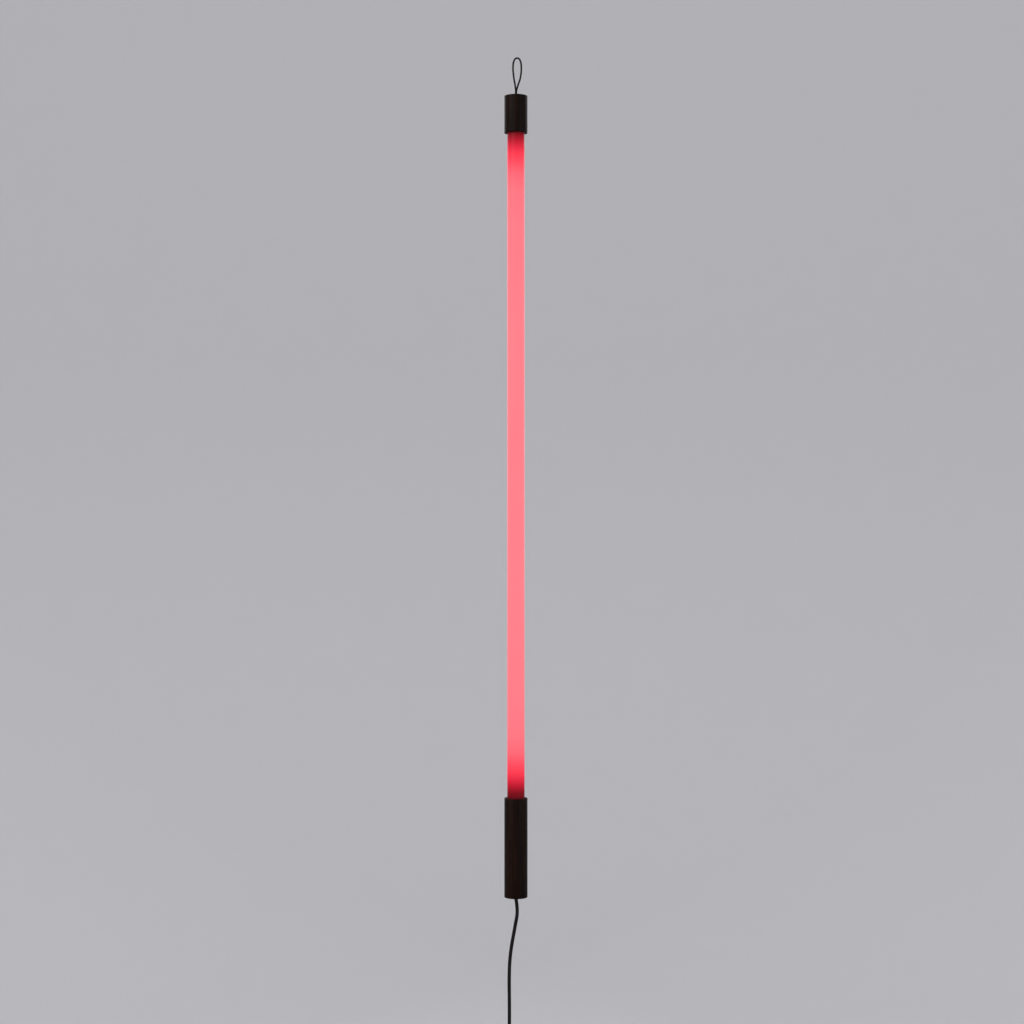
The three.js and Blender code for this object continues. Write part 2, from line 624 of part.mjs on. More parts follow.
// The in-line switch: two half shells, the rocker on its pin, its contacts and two screws.
function makeSwitch() {
  const outline = roundedRectangle(SWITCH_WIDTH, SWITCH_LENGTH, SWITCH_CORNER);
  const room = roundedRectangle(
    SWITCH_WIDTH - 2 * SWITCH_WALL,
    SWITCH_LENGTH - 2 * SWITCH_WALL,
    SWITCH_CORNER - SWITCH_WALL,
  );
  const half = SWITCH_DEPTH / 2;
  const entry = rod(CORD_RADIUS + GAP, -SWITCH_LENGTH, SWITCH_LENGTH, CORD_SIDES * 2);
  const ends = [-SCREW_OFFSET, SCREW_OFFSET];
  const baseBosses = ends.map((z) => crossRod(BOSS_RADIUS, 0.5, half - 1, SCREW_X, z));
  const coverBosses = ends.map((z) => crossRod(BOSS_RADIUS, -half + 1, -0.5, SCREW_X, z));
  const screwHoles = ends.map((z) => crossRod(SCREW_RADIUS + GAP, -half + 2.5, half + 1, SCREW_X, z));
  const headRooms = ends.map((z) => crossRod(SCREW_HEAD_RADIUS + GAP, half - 2 - GAP, half + 1, SCREW_X, z));
  const baseShell = slab(outline, GAP / 2, half);
  const baseRoom = slab(room, -1, half - SWITCH_WALL);
  const coverShell = slab(outline, -half, -GAP / 2);
  const coverRoom = slab(room, -half + SWITCH_WALL, 1);
  const windowReach = ROCKER_LENGTH / 2 + 1.3;
  const window = block(ROCKER_WIDTH + 0.8, SWITCH_DEPTH, -windowReach, windowReach, 0, -half);
  const pinHole = sideRod(PIN_RADIUS + 0.15, ROCKER_WIDTH / 2 + 3);
  const cheekX = ROCKER_WIDTH / 2 + 1.6;
  const cheeks = [-cheekX, cheekX].map((x) => block(2, 6, -3, 3, x, ROCKER_AXIS_Y - 0.5));
  const place = [CORD_DROP_X, 0, SWITCH_MIDDLE];
  const hollowBase = shaped(baseShell, [], [baseRoom]);
  const base = shaped(hollowBase, baseBosses, [...screwHoles, ...headRooms, entry]);
  add("switch_base", base, "black_plastic", place);
  const hollowCover = shaped(coverShell, [], [coverRoom]);
  const coverCuts = [...screwHoles, entry, window, pinHole];
  const cover = shaped(hollowCover, [...coverBosses, ...cheeks], coverCuts);
  add("switch_cover", cover, "black_plastic", place);
  add("switch_pin", sideRod(PIN_RADIUS, ROCKER_WIDTH / 2 + 2.4), "steel", place);
  makeRocker(place);
  const screws = { switch_screw_top: SCREW_OFFSET, switch_screw_bottom: -SCREW_OFFSET };
  for (const [name, z] of Object.entries(screws)) {
    const shank = crossRod(SCREW_RADIUS, -half + 3.5, half - 1.5, SCREW_X, z, 12);
    const head = crossRod(SCREW_HEAD_RADIUS, half - 2, half - 0.4, SCREW_X, z);
    add(name, shaped(shank, [head]), "steel", place);
  }
  const contacts = { switch_contact_in: 1, switch_contact_out: -1 };
  for (const [name, side] of Object.entries(contacts)) {
    const low = side > 0 ? 6 : -20;
    add(name, block(5, 1, low, low + 14, -3, 4), "brass", place);
  }
}

// A rod along X through the rocker's axis.
function sideRod(radius, halfLength) {
  const geometry = rod(radius, -halfLength, halfLength);
  geometry.rotateY(Math.PI / 2);
  geometry.translate(0, ROCKER_AXIS_Y, 0);
  return geometry;
}

// A rocker with a shallow V of two faces, drawn in y and z about its pin, then tilted to one side.
function makeRocker(place) {
  const reach = ROCKER_LENGTH / 2;
  const side = new THREE.Shape();
  side.moveTo(-5.6, -reach);
  side.lineTo(0.5, -reach + 0.6);
  side.lineTo(2.4, -2);
  side.lineTo(2.4, 2);
  side.lineTo(0.5, reach - 0.6);
  side.lineTo(-5.6, reach);
  side.lineTo(-4.3, 0);
  side.closePath();
  const depth = ROCKER_WIDTH;
  const body = new THREE.ExtrudeGeometry(side, { depth, bevelEnabled: false });
  body.translate(0, 0, -depth / 2);
  const turn = new THREE.Matrix4();
  turn.makeBasis(new THREE.Vector3(0, 1, 0), new THREE.Vector3(0, 0, 1), new THREE.Vector3(1, 0, 0));
  body.applyMatrix4(turn);
  body.rotateX(THREE.MathUtils.degToRad(-ROCKER_TILT));
  body.translate(0, ROCKER_AXIS_Y, 0);
  const bore = sideRod(PIN_RADIUS + 0.15, ROCKER_WIDTH);
  add("switch_rocker", shaped(body, [], [bore]), "black_plastic", place);
}

// The outline of the hank: two end loops joined by two hollow arcs at the waist.
function hankOutline() {
  const bulge = HANK_OUTER - HANK_END_RADIUS;
  const hollow =
    (HANK_WAIST ** 2 + HANK_LOOP_Z ** 2 - HANK_END_RADIUS ** 2) / (2 * (HANK_END_RADIUS - HANK_WAIST));
  const across = HANK_WAIST + hollow;
  const angle = Math.atan2(HANK_LOOP_Z, across);
  const shape = new THREE.Shape();
  shape.absarc(0, HANK_LOOP_Z, HANK_OUTER, -angle, Math.PI + angle);
  shape.absarc(-across, 0, hollow - bulge, angle, -angle, true);
  shape.absarc(0, -HANK_LOOP_Z, HANK_OUTER, Math.PI - angle, 2 * Math.PI + angle);
  shape.absarc(across, 0, hollow - bulge, Math.PI + angle, Math.PI - angle, true);
  shape.closePath();
  return shape;
}

// The short lead below the switch, the hank of spare length, the tie round its waist, the tail to the plug.
function makeHank() {
  const lead = rod(CORD_RADIUS, HANK_TOP + GAP, SWITCH_BOTTOM - GAP, CORD_SIDES);
  add("cord_lower", lead, "lead_jacket", [CORD_DROP_X, 0, 0]);
  const hankBack = HANK_FRONT + HANK_DEPTH;
  const hank = slab(hankOutline(), HANK_FRONT, hankBack, 10);
  add("cord_hank", hank, "lead_jacket", [CORD_DROP_X, 0, HANK_MIDDLE]);

  const width = 2 * (HANK_WAIST + CORD_RADIUS + TIE_ROOM);
  const depth = HANK_DEPTH + 2 * GAP;
  const band = roundedRectangle(width + 2 * TIE_THICK, depth + 2 * TIE_THICK, TIE_CORNER + TIE_THICK);
  band.holes.push(roundedRectangle(width, depth, GAP));
  const tie = new THREE.ExtrudeGeometry(band, { depth: TIE_WIDTH, bevelEnabled: false, curveSegments: 4 });
  add("hank_tie", tie, "black_plastic", [
    CORD_DROP_X,
    (HANK_FRONT + hankBack) / 2,
    HANK_MIDDLE - TIE_WIDTH / 2,
  ]);

  const tail = rod(CORD_RADIUS, PLUG_TOP + GAP, TAIL_TOP, CORD_SIDES);
  add("cord_tail", tail, "lead_jacket", [TAIL_X, TAIL_Y, 0]);
}

// A flat two-pin plug: a moulded body with a tapered relief, and two round pins.
function makePlug() {
  const bodyTop = PLUG_TOP - PLUG_RELIEF;
  const side = PLUG_WIDTH / 2;
  const outline = new THREE.Shape();
  outline.moveTo(-side + 2, PLUG_FACE);
  outline.lineTo(side - 2, PLUG_FACE);
  outline.lineTo(side, PLUG_FACE + 2);
  outline.lineTo(side, bodyTop - 18);
  outline.quadraticCurveTo(side - 2, bodyTop - 4, 7, bodyTop);
  outline.lineTo(-7, bodyTop);
  outline.quadraticCurveTo(-side + 2, bodyTop - 4, -side, bodyTop - 18);
  outline.lineTo(-side, PLUG_FACE + 2);
  outline.closePath();
  const body = slab(outline, -PLUG_THICK / 2, PLUG_THICK / 2, 6);
  const relief = turned(
    [
      [0, bodyTop - 2],
      [5.6, bodyTop - 2],
      [5.6, bodyTop],
      [3.9, PLUG_TOP],
      [0, PLUG_TOP],
    ],
    SMALL_ROUND,
  );
  const pins = { plug_pin_left: -PLUG_PIN_SPREAD, plug_pin_right: PLUG_PIN_SPREAD };
  const sockets = [];
  for (const [name, x] of Object.entries(pins)) {
    const tip = PLUG_FACE - PLUG_PIN_LENGTH;
    const top = PLUG_FACE + PLUG_PIN_SOCKET;
    const profile = [
      [0, tip],
      [PLUG_PIN_RADIUS - 0.8, tip],
      [PLUG_PIN_RADIUS, tip + 1.2],
      [PLUG_PIN_RADIUS, top],
      [0, top],
    ];
    add(name, turned(profile, 12).translate(x, 0, 0), "brass", [TAIL_X, TAIL_Y, 0]);
    sockets.push(rod(PLUG_PIN_RADIUS + GAP, PLUG_FACE - 1, top + GAP, 12).translate(x, 0, 0));
  }
  add("plug_body", shaped(body, [relief], sockets), "black_plastic", [TAIL_X, TAIL_Y, 0]);
}

makeLoop();
makeLoopHolder();
makeCap();
makeTubeParts();
makeHandle();
makeBase();
makeRelief();
makeLeads(makeSupply());
makeUpperCord();
makeSwitch();
makeHank();
makePlug();

export default lamp;
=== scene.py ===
"""A hanging LED tube lamp: its looks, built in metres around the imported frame.

The lamp hangs from the origin along -Z. The front, where the camera stands, is -Y.
"""

import json
import math

import bmesh
import bpy
from mathutils import Matrix, Vector

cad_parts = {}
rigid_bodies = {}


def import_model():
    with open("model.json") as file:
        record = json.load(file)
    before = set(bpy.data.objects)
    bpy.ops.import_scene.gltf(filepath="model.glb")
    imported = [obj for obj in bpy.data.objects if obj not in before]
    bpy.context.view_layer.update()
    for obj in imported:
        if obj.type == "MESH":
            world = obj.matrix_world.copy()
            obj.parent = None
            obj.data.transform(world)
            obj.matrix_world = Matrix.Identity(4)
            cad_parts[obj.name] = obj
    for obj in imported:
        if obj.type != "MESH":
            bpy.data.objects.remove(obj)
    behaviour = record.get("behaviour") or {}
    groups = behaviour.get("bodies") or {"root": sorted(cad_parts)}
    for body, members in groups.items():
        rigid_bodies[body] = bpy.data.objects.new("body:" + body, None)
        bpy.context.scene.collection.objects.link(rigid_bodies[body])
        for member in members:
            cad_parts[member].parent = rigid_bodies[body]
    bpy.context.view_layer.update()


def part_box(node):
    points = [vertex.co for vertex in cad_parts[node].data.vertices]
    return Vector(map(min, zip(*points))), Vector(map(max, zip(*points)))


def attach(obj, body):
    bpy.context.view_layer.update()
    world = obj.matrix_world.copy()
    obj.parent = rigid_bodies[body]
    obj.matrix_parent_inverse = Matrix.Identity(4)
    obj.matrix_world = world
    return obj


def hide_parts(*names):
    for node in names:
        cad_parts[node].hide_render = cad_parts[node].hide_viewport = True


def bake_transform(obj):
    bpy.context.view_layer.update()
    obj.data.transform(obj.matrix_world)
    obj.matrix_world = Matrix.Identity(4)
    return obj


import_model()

MM = 0.001

# ---- places, from the frame

CAP_LOW, CAP_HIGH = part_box("top_cap")
HANDLE_LOW, HANDLE_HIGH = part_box("handle")
SLEEVE_LOW, SLEEVE_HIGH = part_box("colour_sleeve")
BASE_LOW, BASE_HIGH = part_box("handle_base")
GLAND_LOW, GLAND_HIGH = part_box("cord_gland")
BUSH_LOW, BUSH_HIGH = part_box("loop_bush")
CRIMP_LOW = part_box("loop_crimp")[0]
SWITCH_LOW, SWITCH_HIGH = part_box("switch_base")
HANK_LOW, HANK_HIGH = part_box("cord_hank")
TIE_LOW, TIE_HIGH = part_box("hank_tie")
TAIL_LOW, TAIL_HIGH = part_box("cord_tail")
PLUG_LOW, PLUG_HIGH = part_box("plug_body")
PIN_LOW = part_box("plug_pin_right")[0]

END_RADIUS = CAP_HIGH.x
TUBE_RADIUS = SLEEVE_HIGH.x
TUBE_WALL = 1.8 * MM
CLEARANCE = 0.3 * MM  # between a part and the hole that it sits in
BORE_RADIUS = TUBE_RADIUS + CLEARANCE
FINE_EDGE = 0.3 * MM  # radii of small rounded edges
SMALL_EDGE = 0.4 * MM
SOFT_EDGE = 0.6 * MM
FRONT, REAR, DOWN = Vector((0, -1, 0)), Vector((0, 1, 0)), Vector((0, 0, -1))

# ---- camera

CAMERA_DISTANCE = 3.2
CAMERA_X = -0.0066
CAMERA_Z = -0.7608
LENS = 66.98


def make_camera():
    data = bpy.data.cameras.new("camera")
    data.lens = LENS
    camera = link("camera", data)
    camera.location = (CAMERA_X, -CAMERA_DISTANCE, CAMERA_Z)
    camera.rotation_euler = (math.radians(90), 0, 0)
    bpy.context.scene.camera = camera


# ---- curves and mesh tools

ROUND = 128  # sides of the large round parts
CRISP_EDGE = 35  # degrees: a sharper edge than this shows as an edge
ON_AXIS = 1e-7


def catmull(points, step):
    """Points a step apart on a centripetal Catmull-Rom curve through the given points."""
    first = points[0] * 2 - points[1]
    last = points[-1] * 2 - points[-2]
    knots = [first, *points, last]
    out = [points[0].copy()]
    for a, b, c, d in zip(knots, knots[1:], knots[2:], knots[3:]):
        t1 = math.sqrt((b - a).length)
        t2 = t1 + math.sqrt((c - b).length)
        t3 = t2 + math.sqrt((d - c).length)
        count = max(1, round((c - b).length / step))
        for i in range(1, count + 1):
            t = t1 + (t2 - t1) * i / count
            p = a.lerp(b, t / t1)
            q = b.lerp(c, (t - t1) / (t2 - t1))
            r = c.lerp(d, (t - t2) / (t3 - t2))
            s = p.lerp(q, t / t2)
            u = q.lerp(r, (t - t1) / (t3 - t1))
            out.append(s.lerp(u, (t - t1) / (t2 - t1)))
    return out


def arc(centre, radius, start, sweep, steps):
    """Points of an arc in x and z, after its first one. Angles are in radians from +X."""
    out = []
    for k in range(1, steps + 1):
        angle = start + sweep * k / steps
        out.append((centre[0] + radius * math.cos(angle), centre[1] + radius * math.sin(angle)))
    return out


def link(name, data):
    piece = bpy.data.objects.new(name, data)
    bpy.context.scene.collection.objects.link(piece)
    return piece


def mesh_piece(name, points, faces, smooth_degrees=CRISP_EDGE):
    mesh = bpy.data.meshes.new(name)
    mesh.from_pydata([tuple(p) for p in points], [], faces)
    return crisp(link(name, mesh), smooth_degrees)


def crisp(piece, smooth_degrees=CRISP_EDGE):
    """Makes a piece's faces smooth, apart from edges sharper than smooth_degrees."""
    work = bmesh.new()
    work.from_mesh(piece.data)
    bmesh.ops.recalc_face_normals(work, faces=work.faces)
    limit = math.radians(smooth_degrees)
    for face in work.faces:
        face.smooth = True
    for edge in work.edges:
        edge.smooth = len(edge.link_faces) == 2 and edge.calc_face_angle(0) < limit
    work.to_mesh(piece.data)
    work.free()
    return piece


def fillet(corners, steps=5):
    """A closed outline from (x, y, radius) corners, with each corner rounded to its radius."""
    out = []
    count = len(corners)
    for i, (x, y, radius) in enumerate(corners):
        here = Vector((x, y))
        if radius == 0:
            out.append(here)
            continue
        before = Vector(corners[i - 1][:2])
        after = Vector(corners[(i + 1) % count][:2])
        u, v = (before - here).normalized(), (after - here).normalized()
        half = u.angle(v) / 2
        reach = radius / math.tan(half)
        centre = here + (u + v).normalized() * radius / math.sin(half)
        start, end = here + u * reach - centre, here + v * reach - centre
        sweep = start.angle_signed(end)
        for k in range(steps + 1):
            out.append(centre + Matrix.Rotation(-sweep * k / steps, 2) @ start)
    return out


def rectangle(inner, outer, low, high, edge=0.0):
    """The corners, for fillet, of an upright rectangle with one edge radius all round."""
    return [(inner, low, edge), (outer, low, edge), (outer, high, edge), (inner, high, edge)]


def lathe(name, outline, sides=ROUND, centre=(0, 0), closed=True):
    """A solid of revolution about Z of an (r, z) outline. A point on the axis becomes a pole."""
    points, rings = [], []
    for r, z in outline:
        ring = []
        for i in range(1 if r < ON_AXIS else sides):
            angle = math.tau * i / sides
            ring.append(len(points))
            points.append((centre[0] + r * math.cos(angle), centre[1] + r * math.sin(angle), z))
        rings.append(ring)
    faces = []
    for a, b in zip(rings, rings[1:] + rings[:1] * closed):
        if len(a) == 1 and len(b) == 1:
            continue
        for i in range(sides):
            j = (i + 1) % sides
            quad = [a[i % len(a)], a[j % len(a)], b[j % len(b)], b[i % len(b)]]
            faces.append(list(dict.fromkeys(quad)))
    return mesh_piece(name, points, faces)


def tube_mesh(name, path, radius, sides):
    """A closed tube along a path, with a UV map: u round the tube and v along it in metres."""
    tangent = (path[1] - path[0]).normalized()
    across = tangent.orthogonal().normalized()
    angles = [math.tau * k / sides for k in range(sides)]
    rings = []
    for i, centre in enumerate(path):
        before, after = path[max(i - 1, 0)], path[min(i + 1, len(path) - 1)]
        turned = (after - before).normalized()
        across = tangent.rotation_difference(turned) @ across
        tangent = turned
        up = tangent.cross(across)
        rings.append([centre + (across * math.cos(a) + up * math.sin(a)) * radius for a in angles])
    piece = loft(name, rings, smooth_degrees=60)
    along = [0.0]
    for a, b in zip(path, path[1:]):
        along.append(along[-1] + (b - a).length)
    layer = piece.data.uv_layers.new(name="along")
    for polygon in piece.data.polygons:
        columns = [piece.data.loops[i].vertex_index % sides for i in polygon.loop_indices]
        wraps = max(columns) - min(columns) > sides / 2
        for loop, column in zip(polygon.loop_indices, columns):
            row = piece.data.loops[loop].vertex_index // sides
            u = (column + sides if wraps and column == 0 else column) / sides
            layer.data[loop].uv = (u, along[row])
    return piece


def rounded_rectangle(width, height, corner, steps=8):
    """Points of a rectangle with round corners, in two coordinates, about its middle."""
    out = []
    centres = [(1, 1), (-1, 1), (-1, -1), (1, -1)]
    for i, (sx, sy) in enumerate(centres):
        cx, cy = sx * (width / 2 - corner), sy * (height / 2 - corner)
        for k in range(steps + 1):
            angle = math.pi / 2 * (i + k / steps)
            out.append((cx + corner * math.cos(angle), cy + corner * math.sin(angle)))
    return out


def loft(name, rings, closed=False, smooth_degrees=CRISP_EDGE):
    """A solid through rings of as many points each: capped at its ends, or closed on itself."""
    points = [p for ring in rings for p in ring]
    count = len(rings[0])
    faces = []
    for i in range(len(rings) - (not closed)):
        row, following = i * count, (i + 1) % len(rings) * count
        for k in range(count):
            n = (k + 1) % count
            faces.append((row + k, row + n, following + n, following + k))
    if not closed:
        last = (len(rings) - 1) * count
        faces.append(tuple(reversed(range(count))))
        faces.append(tuple(range(last, last + count)))
    return mesh_piece(name, points, faces, smooth_degrees)


def edge_levels(start, end, radius, steps=6):
    """(place, inset) pairs that run from a rounded edge at start to end, straight in from there."""
    way = 1 if end > start else -1
    levels = []
    for k in range(steps + 1):
        angle = math.pi / 2 * k / steps
        levels.append((start + way * radius * (1 - math.cos(angle)), radius * (1 - math.sin(angle))))
    return [*levels, (end, 0.0)]


def cut(piece, *tools):
    """Cuts the tools out of a piece, and removes them."""
    for tool in tools:
        modifier = piece.modifiers.new("cut", "BOOLEAN")
        modifier.operation = "DIFFERENCE"
        modifier.solver = "EXACT"
        modifier.object = tool
        evaluated = piece.evaluated_get(bpy.context.evaluated_depsgraph_get())
        before, after = piece.data, bpy.data.meshes.new_from_object(evaluated)
        piece.modifiers.clear()
        piece.data = after
        bpy.data.meshes.remove(before)
        bpy.data.objects.remove(tool)
    return crisp(piece)


def joined(name, pieces):
    """One piece made of several that touch or sit in each other."""
    work = bmesh.new()
    for piece in pieces:
        work.from_mesh(piece.data)
    mesh = bpy.data.meshes.new(name)
    work.to_mesh(mesh)
    work.free()
    for piece in pieces:
        bpy.data.objects.remove(piece)
    return link(name, mesh)


def rod(radius, start, end, sides=32):
    """A plain round rod between two points, to cut with or to join on."""
    axis = end - start
    turn = Vector((0, 0, 1)).rotation_difference(axis)
    angles = [math.tau * i / sides for i in range(sides)]
    outline = [(radius * math.cos(angle), radius * math.sin(angle)) for angle in angles]
    return loft("rod", [[start + turn @ Vector((x, y, z)) for x, y in outline] for z in (0, axis.length)])


def box(centre, size):
    """A plain box, to cut with or to join on."""
    x, y, z = size / 2
    corners = [(x, y), (-x, y), (-x, -y), (x, -y)]
    return loft("box", [[centre + Vector((*corner, level)) for corner in corners] for level in (-z, z)])


def moved(piece, place, facing):
    """Turns a piece that was drawn facing +Z to face another way, and puts its origin at a place."""
    turn = Vector((0, 0, 1)).rotation_difference(facing).to_matrix().to_4x4()
    piece.data.transform(Matrix.Translation(place) @ turn)
    return piece


# ---- materials


def linear(colour):
    """A display colour, 0 to 1, as the linear one that a shader takes."""
    return [c / 12.92 if c <= 0.04045 else ((c + 0.055) / 1.055) ** 2.4 for c in colour]


# A Mix node has sockets for each kind of data: these are its colour ones.
MIX_FIRST, MIX_SECOND, MIX_RESULT = 6, 7, 2


class Finish:
    """A node material, with short calls for the nodes that the finishes share."""

    def __init__(self, name, colour, roughness, metallic=0.0, shine=0.5):
        self.material = bpy.data.materials.new(name)
        self.material.use_nodes = True
        self.nodes = self.material.node_tree.nodes
        self.shader = self.nodes["Principled BSDF"]
        self.set("Base Color", (*colour, 1))
        self.set("Roughness", roughness)
        self.set("Metallic", metallic)
        self.set("Specular IOR Level", shine)

    def set(self, name, value):
        self.shader.inputs[name].default_value = value

    def wire(self, start, end):
        self.material.node_tree.links.new(start, end)

    def feed(self, value, socket):
        """Sets a socket to a number or a colour, or wires another node's output to it."""
        if isinstance(value, (int, float)):
            socket.default_value = value
        elif isinstance(value, (list, tuple)):
            socket.default_value = (*value, 1)
        else:
            self.wire(value, socket)

    def node(self, kind, **inputs):
        made = self.nodes.new(kind)
        for name, value in inputs.items():
            made.inputs[name].default_value = value
        return made

    def coordinates(self, source="Object"):
        return self.nodes.new("ShaderNodeTexCoord").outputs[source]

    def place(self, squeeze=1):
        """Object coordinates. A squeeze below 1 draws a pattern out along the lamp, as grain is."""
        mapping = self.node("ShaderNodeMapping", Scale=(1, 1, squeeze))
        self.wire(self.coordinates(), mapping.inputs["Vector"])
        return mapping.outputs["Vector"]

    def split(self, place):
        """The x, y and z of a place."""
        made = self.nodes.new("ShaderNodeSeparateXYZ")
        self.wire(place, made.inputs["Vector"])
        return made.outputs

    def noise(self, scale, detail, rough=0.55, distortion=0.0, squeeze=1):
        made = self.node("ShaderNodeTexNoise", Scale=scale, Detail=detail, Roughness=rough)
        made.inputs["Distortion"].default_value = distortion
        self.wire(self.place(squeeze), made.inputs["Vector"])
        return made.outputs["Fac"]

    def math(self, operation, a, b=0.0, clamp=False):
        made = self.nodes.new("ShaderNodeMath")
        made.operation = operation
        made.use_clamp = clamp
        for value, socket in zip((a, b), made.inputs):
            self.feed(value, socket)
        return made.outputs[0]

    def product(self, a, b):
        return self.math("MULTIPLY", a, b)

    def radius(self, x, y):
        """The distance of (x, y) from the middle."""
        return self.math("SQRT", self.math("ADD", self.product(x, x), self.product(y, y)))

    def weave(self, one, other):
        """0 to 1 over crossing threads, from two waves of -1 to 1."""
        return self.math("ADD", self.product(self.product(one, other), 0.5), 0.5)

    def ramp(self, value, stops):
        """Maps a value through (position, number or colour) stops."""
        made = self.nodes.new("ShaderNodeValToRGB")
        elements = made.color_ramp.elements
        while len(elements) < len(stops):
            elements.new(0.5)
        for element, (position, colour) in zip(elements, stops):
            element.position = position
            colour = [colour] * 3 if isinstance(colour, (int, float)) else colour
            element.color = (*colour, 1)
        self.wire(value, made.inputs["Fac"])
        return made.outputs["Color"]

    def mix(self, share, a, b, way="MIX"):
        made = self.nodes.new("ShaderNodeMix")
        made.data_type = "RGBA"
        made.blend_type = way
        sockets = (made.inputs["Factor"], made.inputs[MIX_FIRST], made.inputs[MIX_SECOND])
        for value, socket in zip((share, a, b), sockets):
            self.feed(value, socket)
        return made.outputs[MIX_RESULT]

    def scaled(self, colour, light):
        """A colour multiplied by another."""
        return self.mix(1.0, colour, light, "MULTIPLY")

    def colour(self, source):
        self.wire(source, self.shader.inputs["Base Color"])

    def roughness(self, source, low, high):
        self.wire(self.ramp(source, [(0.0, low), (1.0, high)]), self.shader.inputs["Roughness"])

    def bump(self, height, distance, strength=1.0):
        made = self.node("ShaderNodeBump", Strength=strength, Distance=distance)
        self.wire(height, made.inputs["Height"])
        before = self.shader.inputs["Normal"]
        if before.is_linked:
            self.wire(before.links[0].from_socket, made.inputs["Normal"])
        self.wire(made.outputs["Normal"], before)


# Linear tones of the stain, and how much of them shows from one year's ring to the next.
WOOD_TONES = [
    (0.3, (0.0028, 0.0009, 0.0005)),
    (0.5, (0.0064, 0.0022, 0.0011)),
    (0.72, (0.014, 0.0054, 0.0026)),
]
STREAK_TONES = [(0.35, (0.55, 0.5, 0.48)), (0.65, (1.35, 1.3, 1.25))]
RING_SHARES = [(0.0, 0.55), (0.2, 0.85), (0.75, 1.0), (0.93, 0.8), (1.0, 0.55)]
RING_TONE = (0.0014, 0.0006, 0.0004)
PORE_TONE = (0.0018, 0.0008, 0.0006)
RING_PITCH = 2.4 * MM
RING_WAVER = 0.004
HEART = (-0.055, 0.034)  # the tree's heart, in x and y, to one side of the lamp


def growth_rings(f, waver):
    """0 to 1 through each year's ring: stripes up the sides, and rings on the cut ends."""
    place = f.split(f.place())
    x, y = (f.math("SUBTRACT", place[axis], middle) for axis, middle in zip("XY", HEART))
    reach = f.math("ADD", f.radius(x, y), f.product(waver, RING_WAVER))
    return f.math("FRACT", f.math("DIVIDE", reach, RING_PITCH))


def dark_wood():
    """Dark-stained hardwood: growth rings and long grain up the lamp, darker pores, satin oil."""
    f = Finish("dark_wood", (0.03, 0.016, 0.01), 0.5, shine=0.05)
    broad = f.noise(45, 3, rough=0.5, distortion=0.4, squeeze=0.12)
    fibre = f.noise(900, 5, rough=0.65, squeeze=0.035)
    streak = f.noise(330, 3, rough=0.5, distortion=0.2, squeeze=0.02)
    speckle = f.noise(1400, 2, rough=0.4, squeeze=0.05)
    pores = f.ramp(speckle, [(0.0, 0.0), (0.36, 0.0), (0.44, 1.0), (1.0, 1.0)])
    stained = f.scaled(f.ramp(broad, WOOD_TONES), f.ramp(streak, STREAK_TONES))
    rings = f.ramp(growth_rings(f, broad), RING_SHARES)
    f.colour(f.mix(pores, PORE_TONE, f.mix(rings, RING_TONE, stained)))
    f.roughness(fibre, 0.46, 0.66)
    f.bump(f.product(fibre, pores), 0.00008, 0.7)
    f.bump(streak, 0.00005, 0.4)
    return f.material


# Display colour of the lit tube against the distance in from the end of what shows of it.
GLOW = [
    (0.000, (0.22, 0.025, 0.035)),
    (0.004, (0.43, 0.030, 0.070)),
    (0.010, (0.60, 0.055, 0.125)),
    (0.018, (0.76, 0.105, 0.190)),
    (0.027, (0.89, 0.165, 0.258)),
    (0.036, (0.975, 0.225, 0.308)),
    (0.050, (0.992, 0.300, 0.372)),
    (0.070, (0.990, 0.412, 0.466)),
    (0.100, (0.990, 0.474, 0.516)),
    (0.160, (0.996, 0.494, 0.536)),
]
GLOW_MIDDLE = (0.997, 0.510, 0.550)
GLOW_MIDDLE_AT = 0.32
HANDLE_END_LAG = 0.0065  # the strip ends further from the handle than from the cap
HANDLE_END_SLOPE = 0.45  # how slowly the light fades close to the handle


def lit_tube():
    """Red opal tube, lit from inside: its light fades where the strip ends, short of the wood."""
    f = Finish("lit_red_tube", (0.045, 0.002, 0.004), 0.5, shine=0.05)
    height = f.split(f.coordinates())["Z"]
    from_top = f.math("SUBTRACT", CAP_LOW.z, height)
    above_handle = f.math("SUBTRACT", height, HANDLE_HIGH.z)
    fading = f.product(above_handle, HANDLE_END_SLOPE)
    from_bottom = f.math("MAXIMUM", fading, f.math("SUBTRACT", above_handle, HANDLE_END_LAG))
    inwards = f.math("MINIMUM", from_top, from_bottom)
    share = f.math("DIVIDE", inwards, GLOW_MIDDLE_AT, clamp=True)
    stops = [(at / GLOW_MIDDLE_AT, linear(colour)) for at, colour in GLOW]
    glow = f.ramp(share, [*stops, (1.0, linear(GLOW_MIDDLE))])
    cloud = f.ramp(f.noise(60, 2, squeeze=0.25), [(0.3, 0.965), (0.7, 1.0)])
    f.wire(f.scaled(glow, cloud), f.shader.inputs["Emission Color"])
    f.set("Emission Strength", 1.0)
    fine = f.noise(700, 2)
    f.roughness(fine, 0.44, 0.56)
    f.bump(fine, 0.00002, 0.4)
    return f.material


def braid(name, colour, turns, pitch, depth):
    """Round braid on a tube with a UV map: strands crossing in two directions, coloured with painted
    shade between the strands and a painted highlight on their crests.
    """
    f = Finish(name, colour, 0.8, shine=0.12)
    place = f.split(f.coordinates("UV"))
    round_it = f.product(place["X"], math.tau * turns)
    along_it = f.product(place["Y"], math.tau / pitch)
    one = f.math("SINE", f.math("ADD", round_it, along_it))
    other = f.math("SINE", f.math("SUBTRACT", round_it, along_it))
    height = f.weave(one, other)
    f.bump(height, depth, 0.9)
    f.bump(f.noise(3000, 3), 0.00005, 0.5)
    # The colour is painted light: shade in the grooves between the strands and a highlight on their
    # crests, set by the weave's height.
    groove_shade, crest_highlight = [c * 0.3 for c in colour], [c * 2.2 for c in colour]
    f.colour(f.mix(height, groove_shade, crest_highlight))
    return f.material


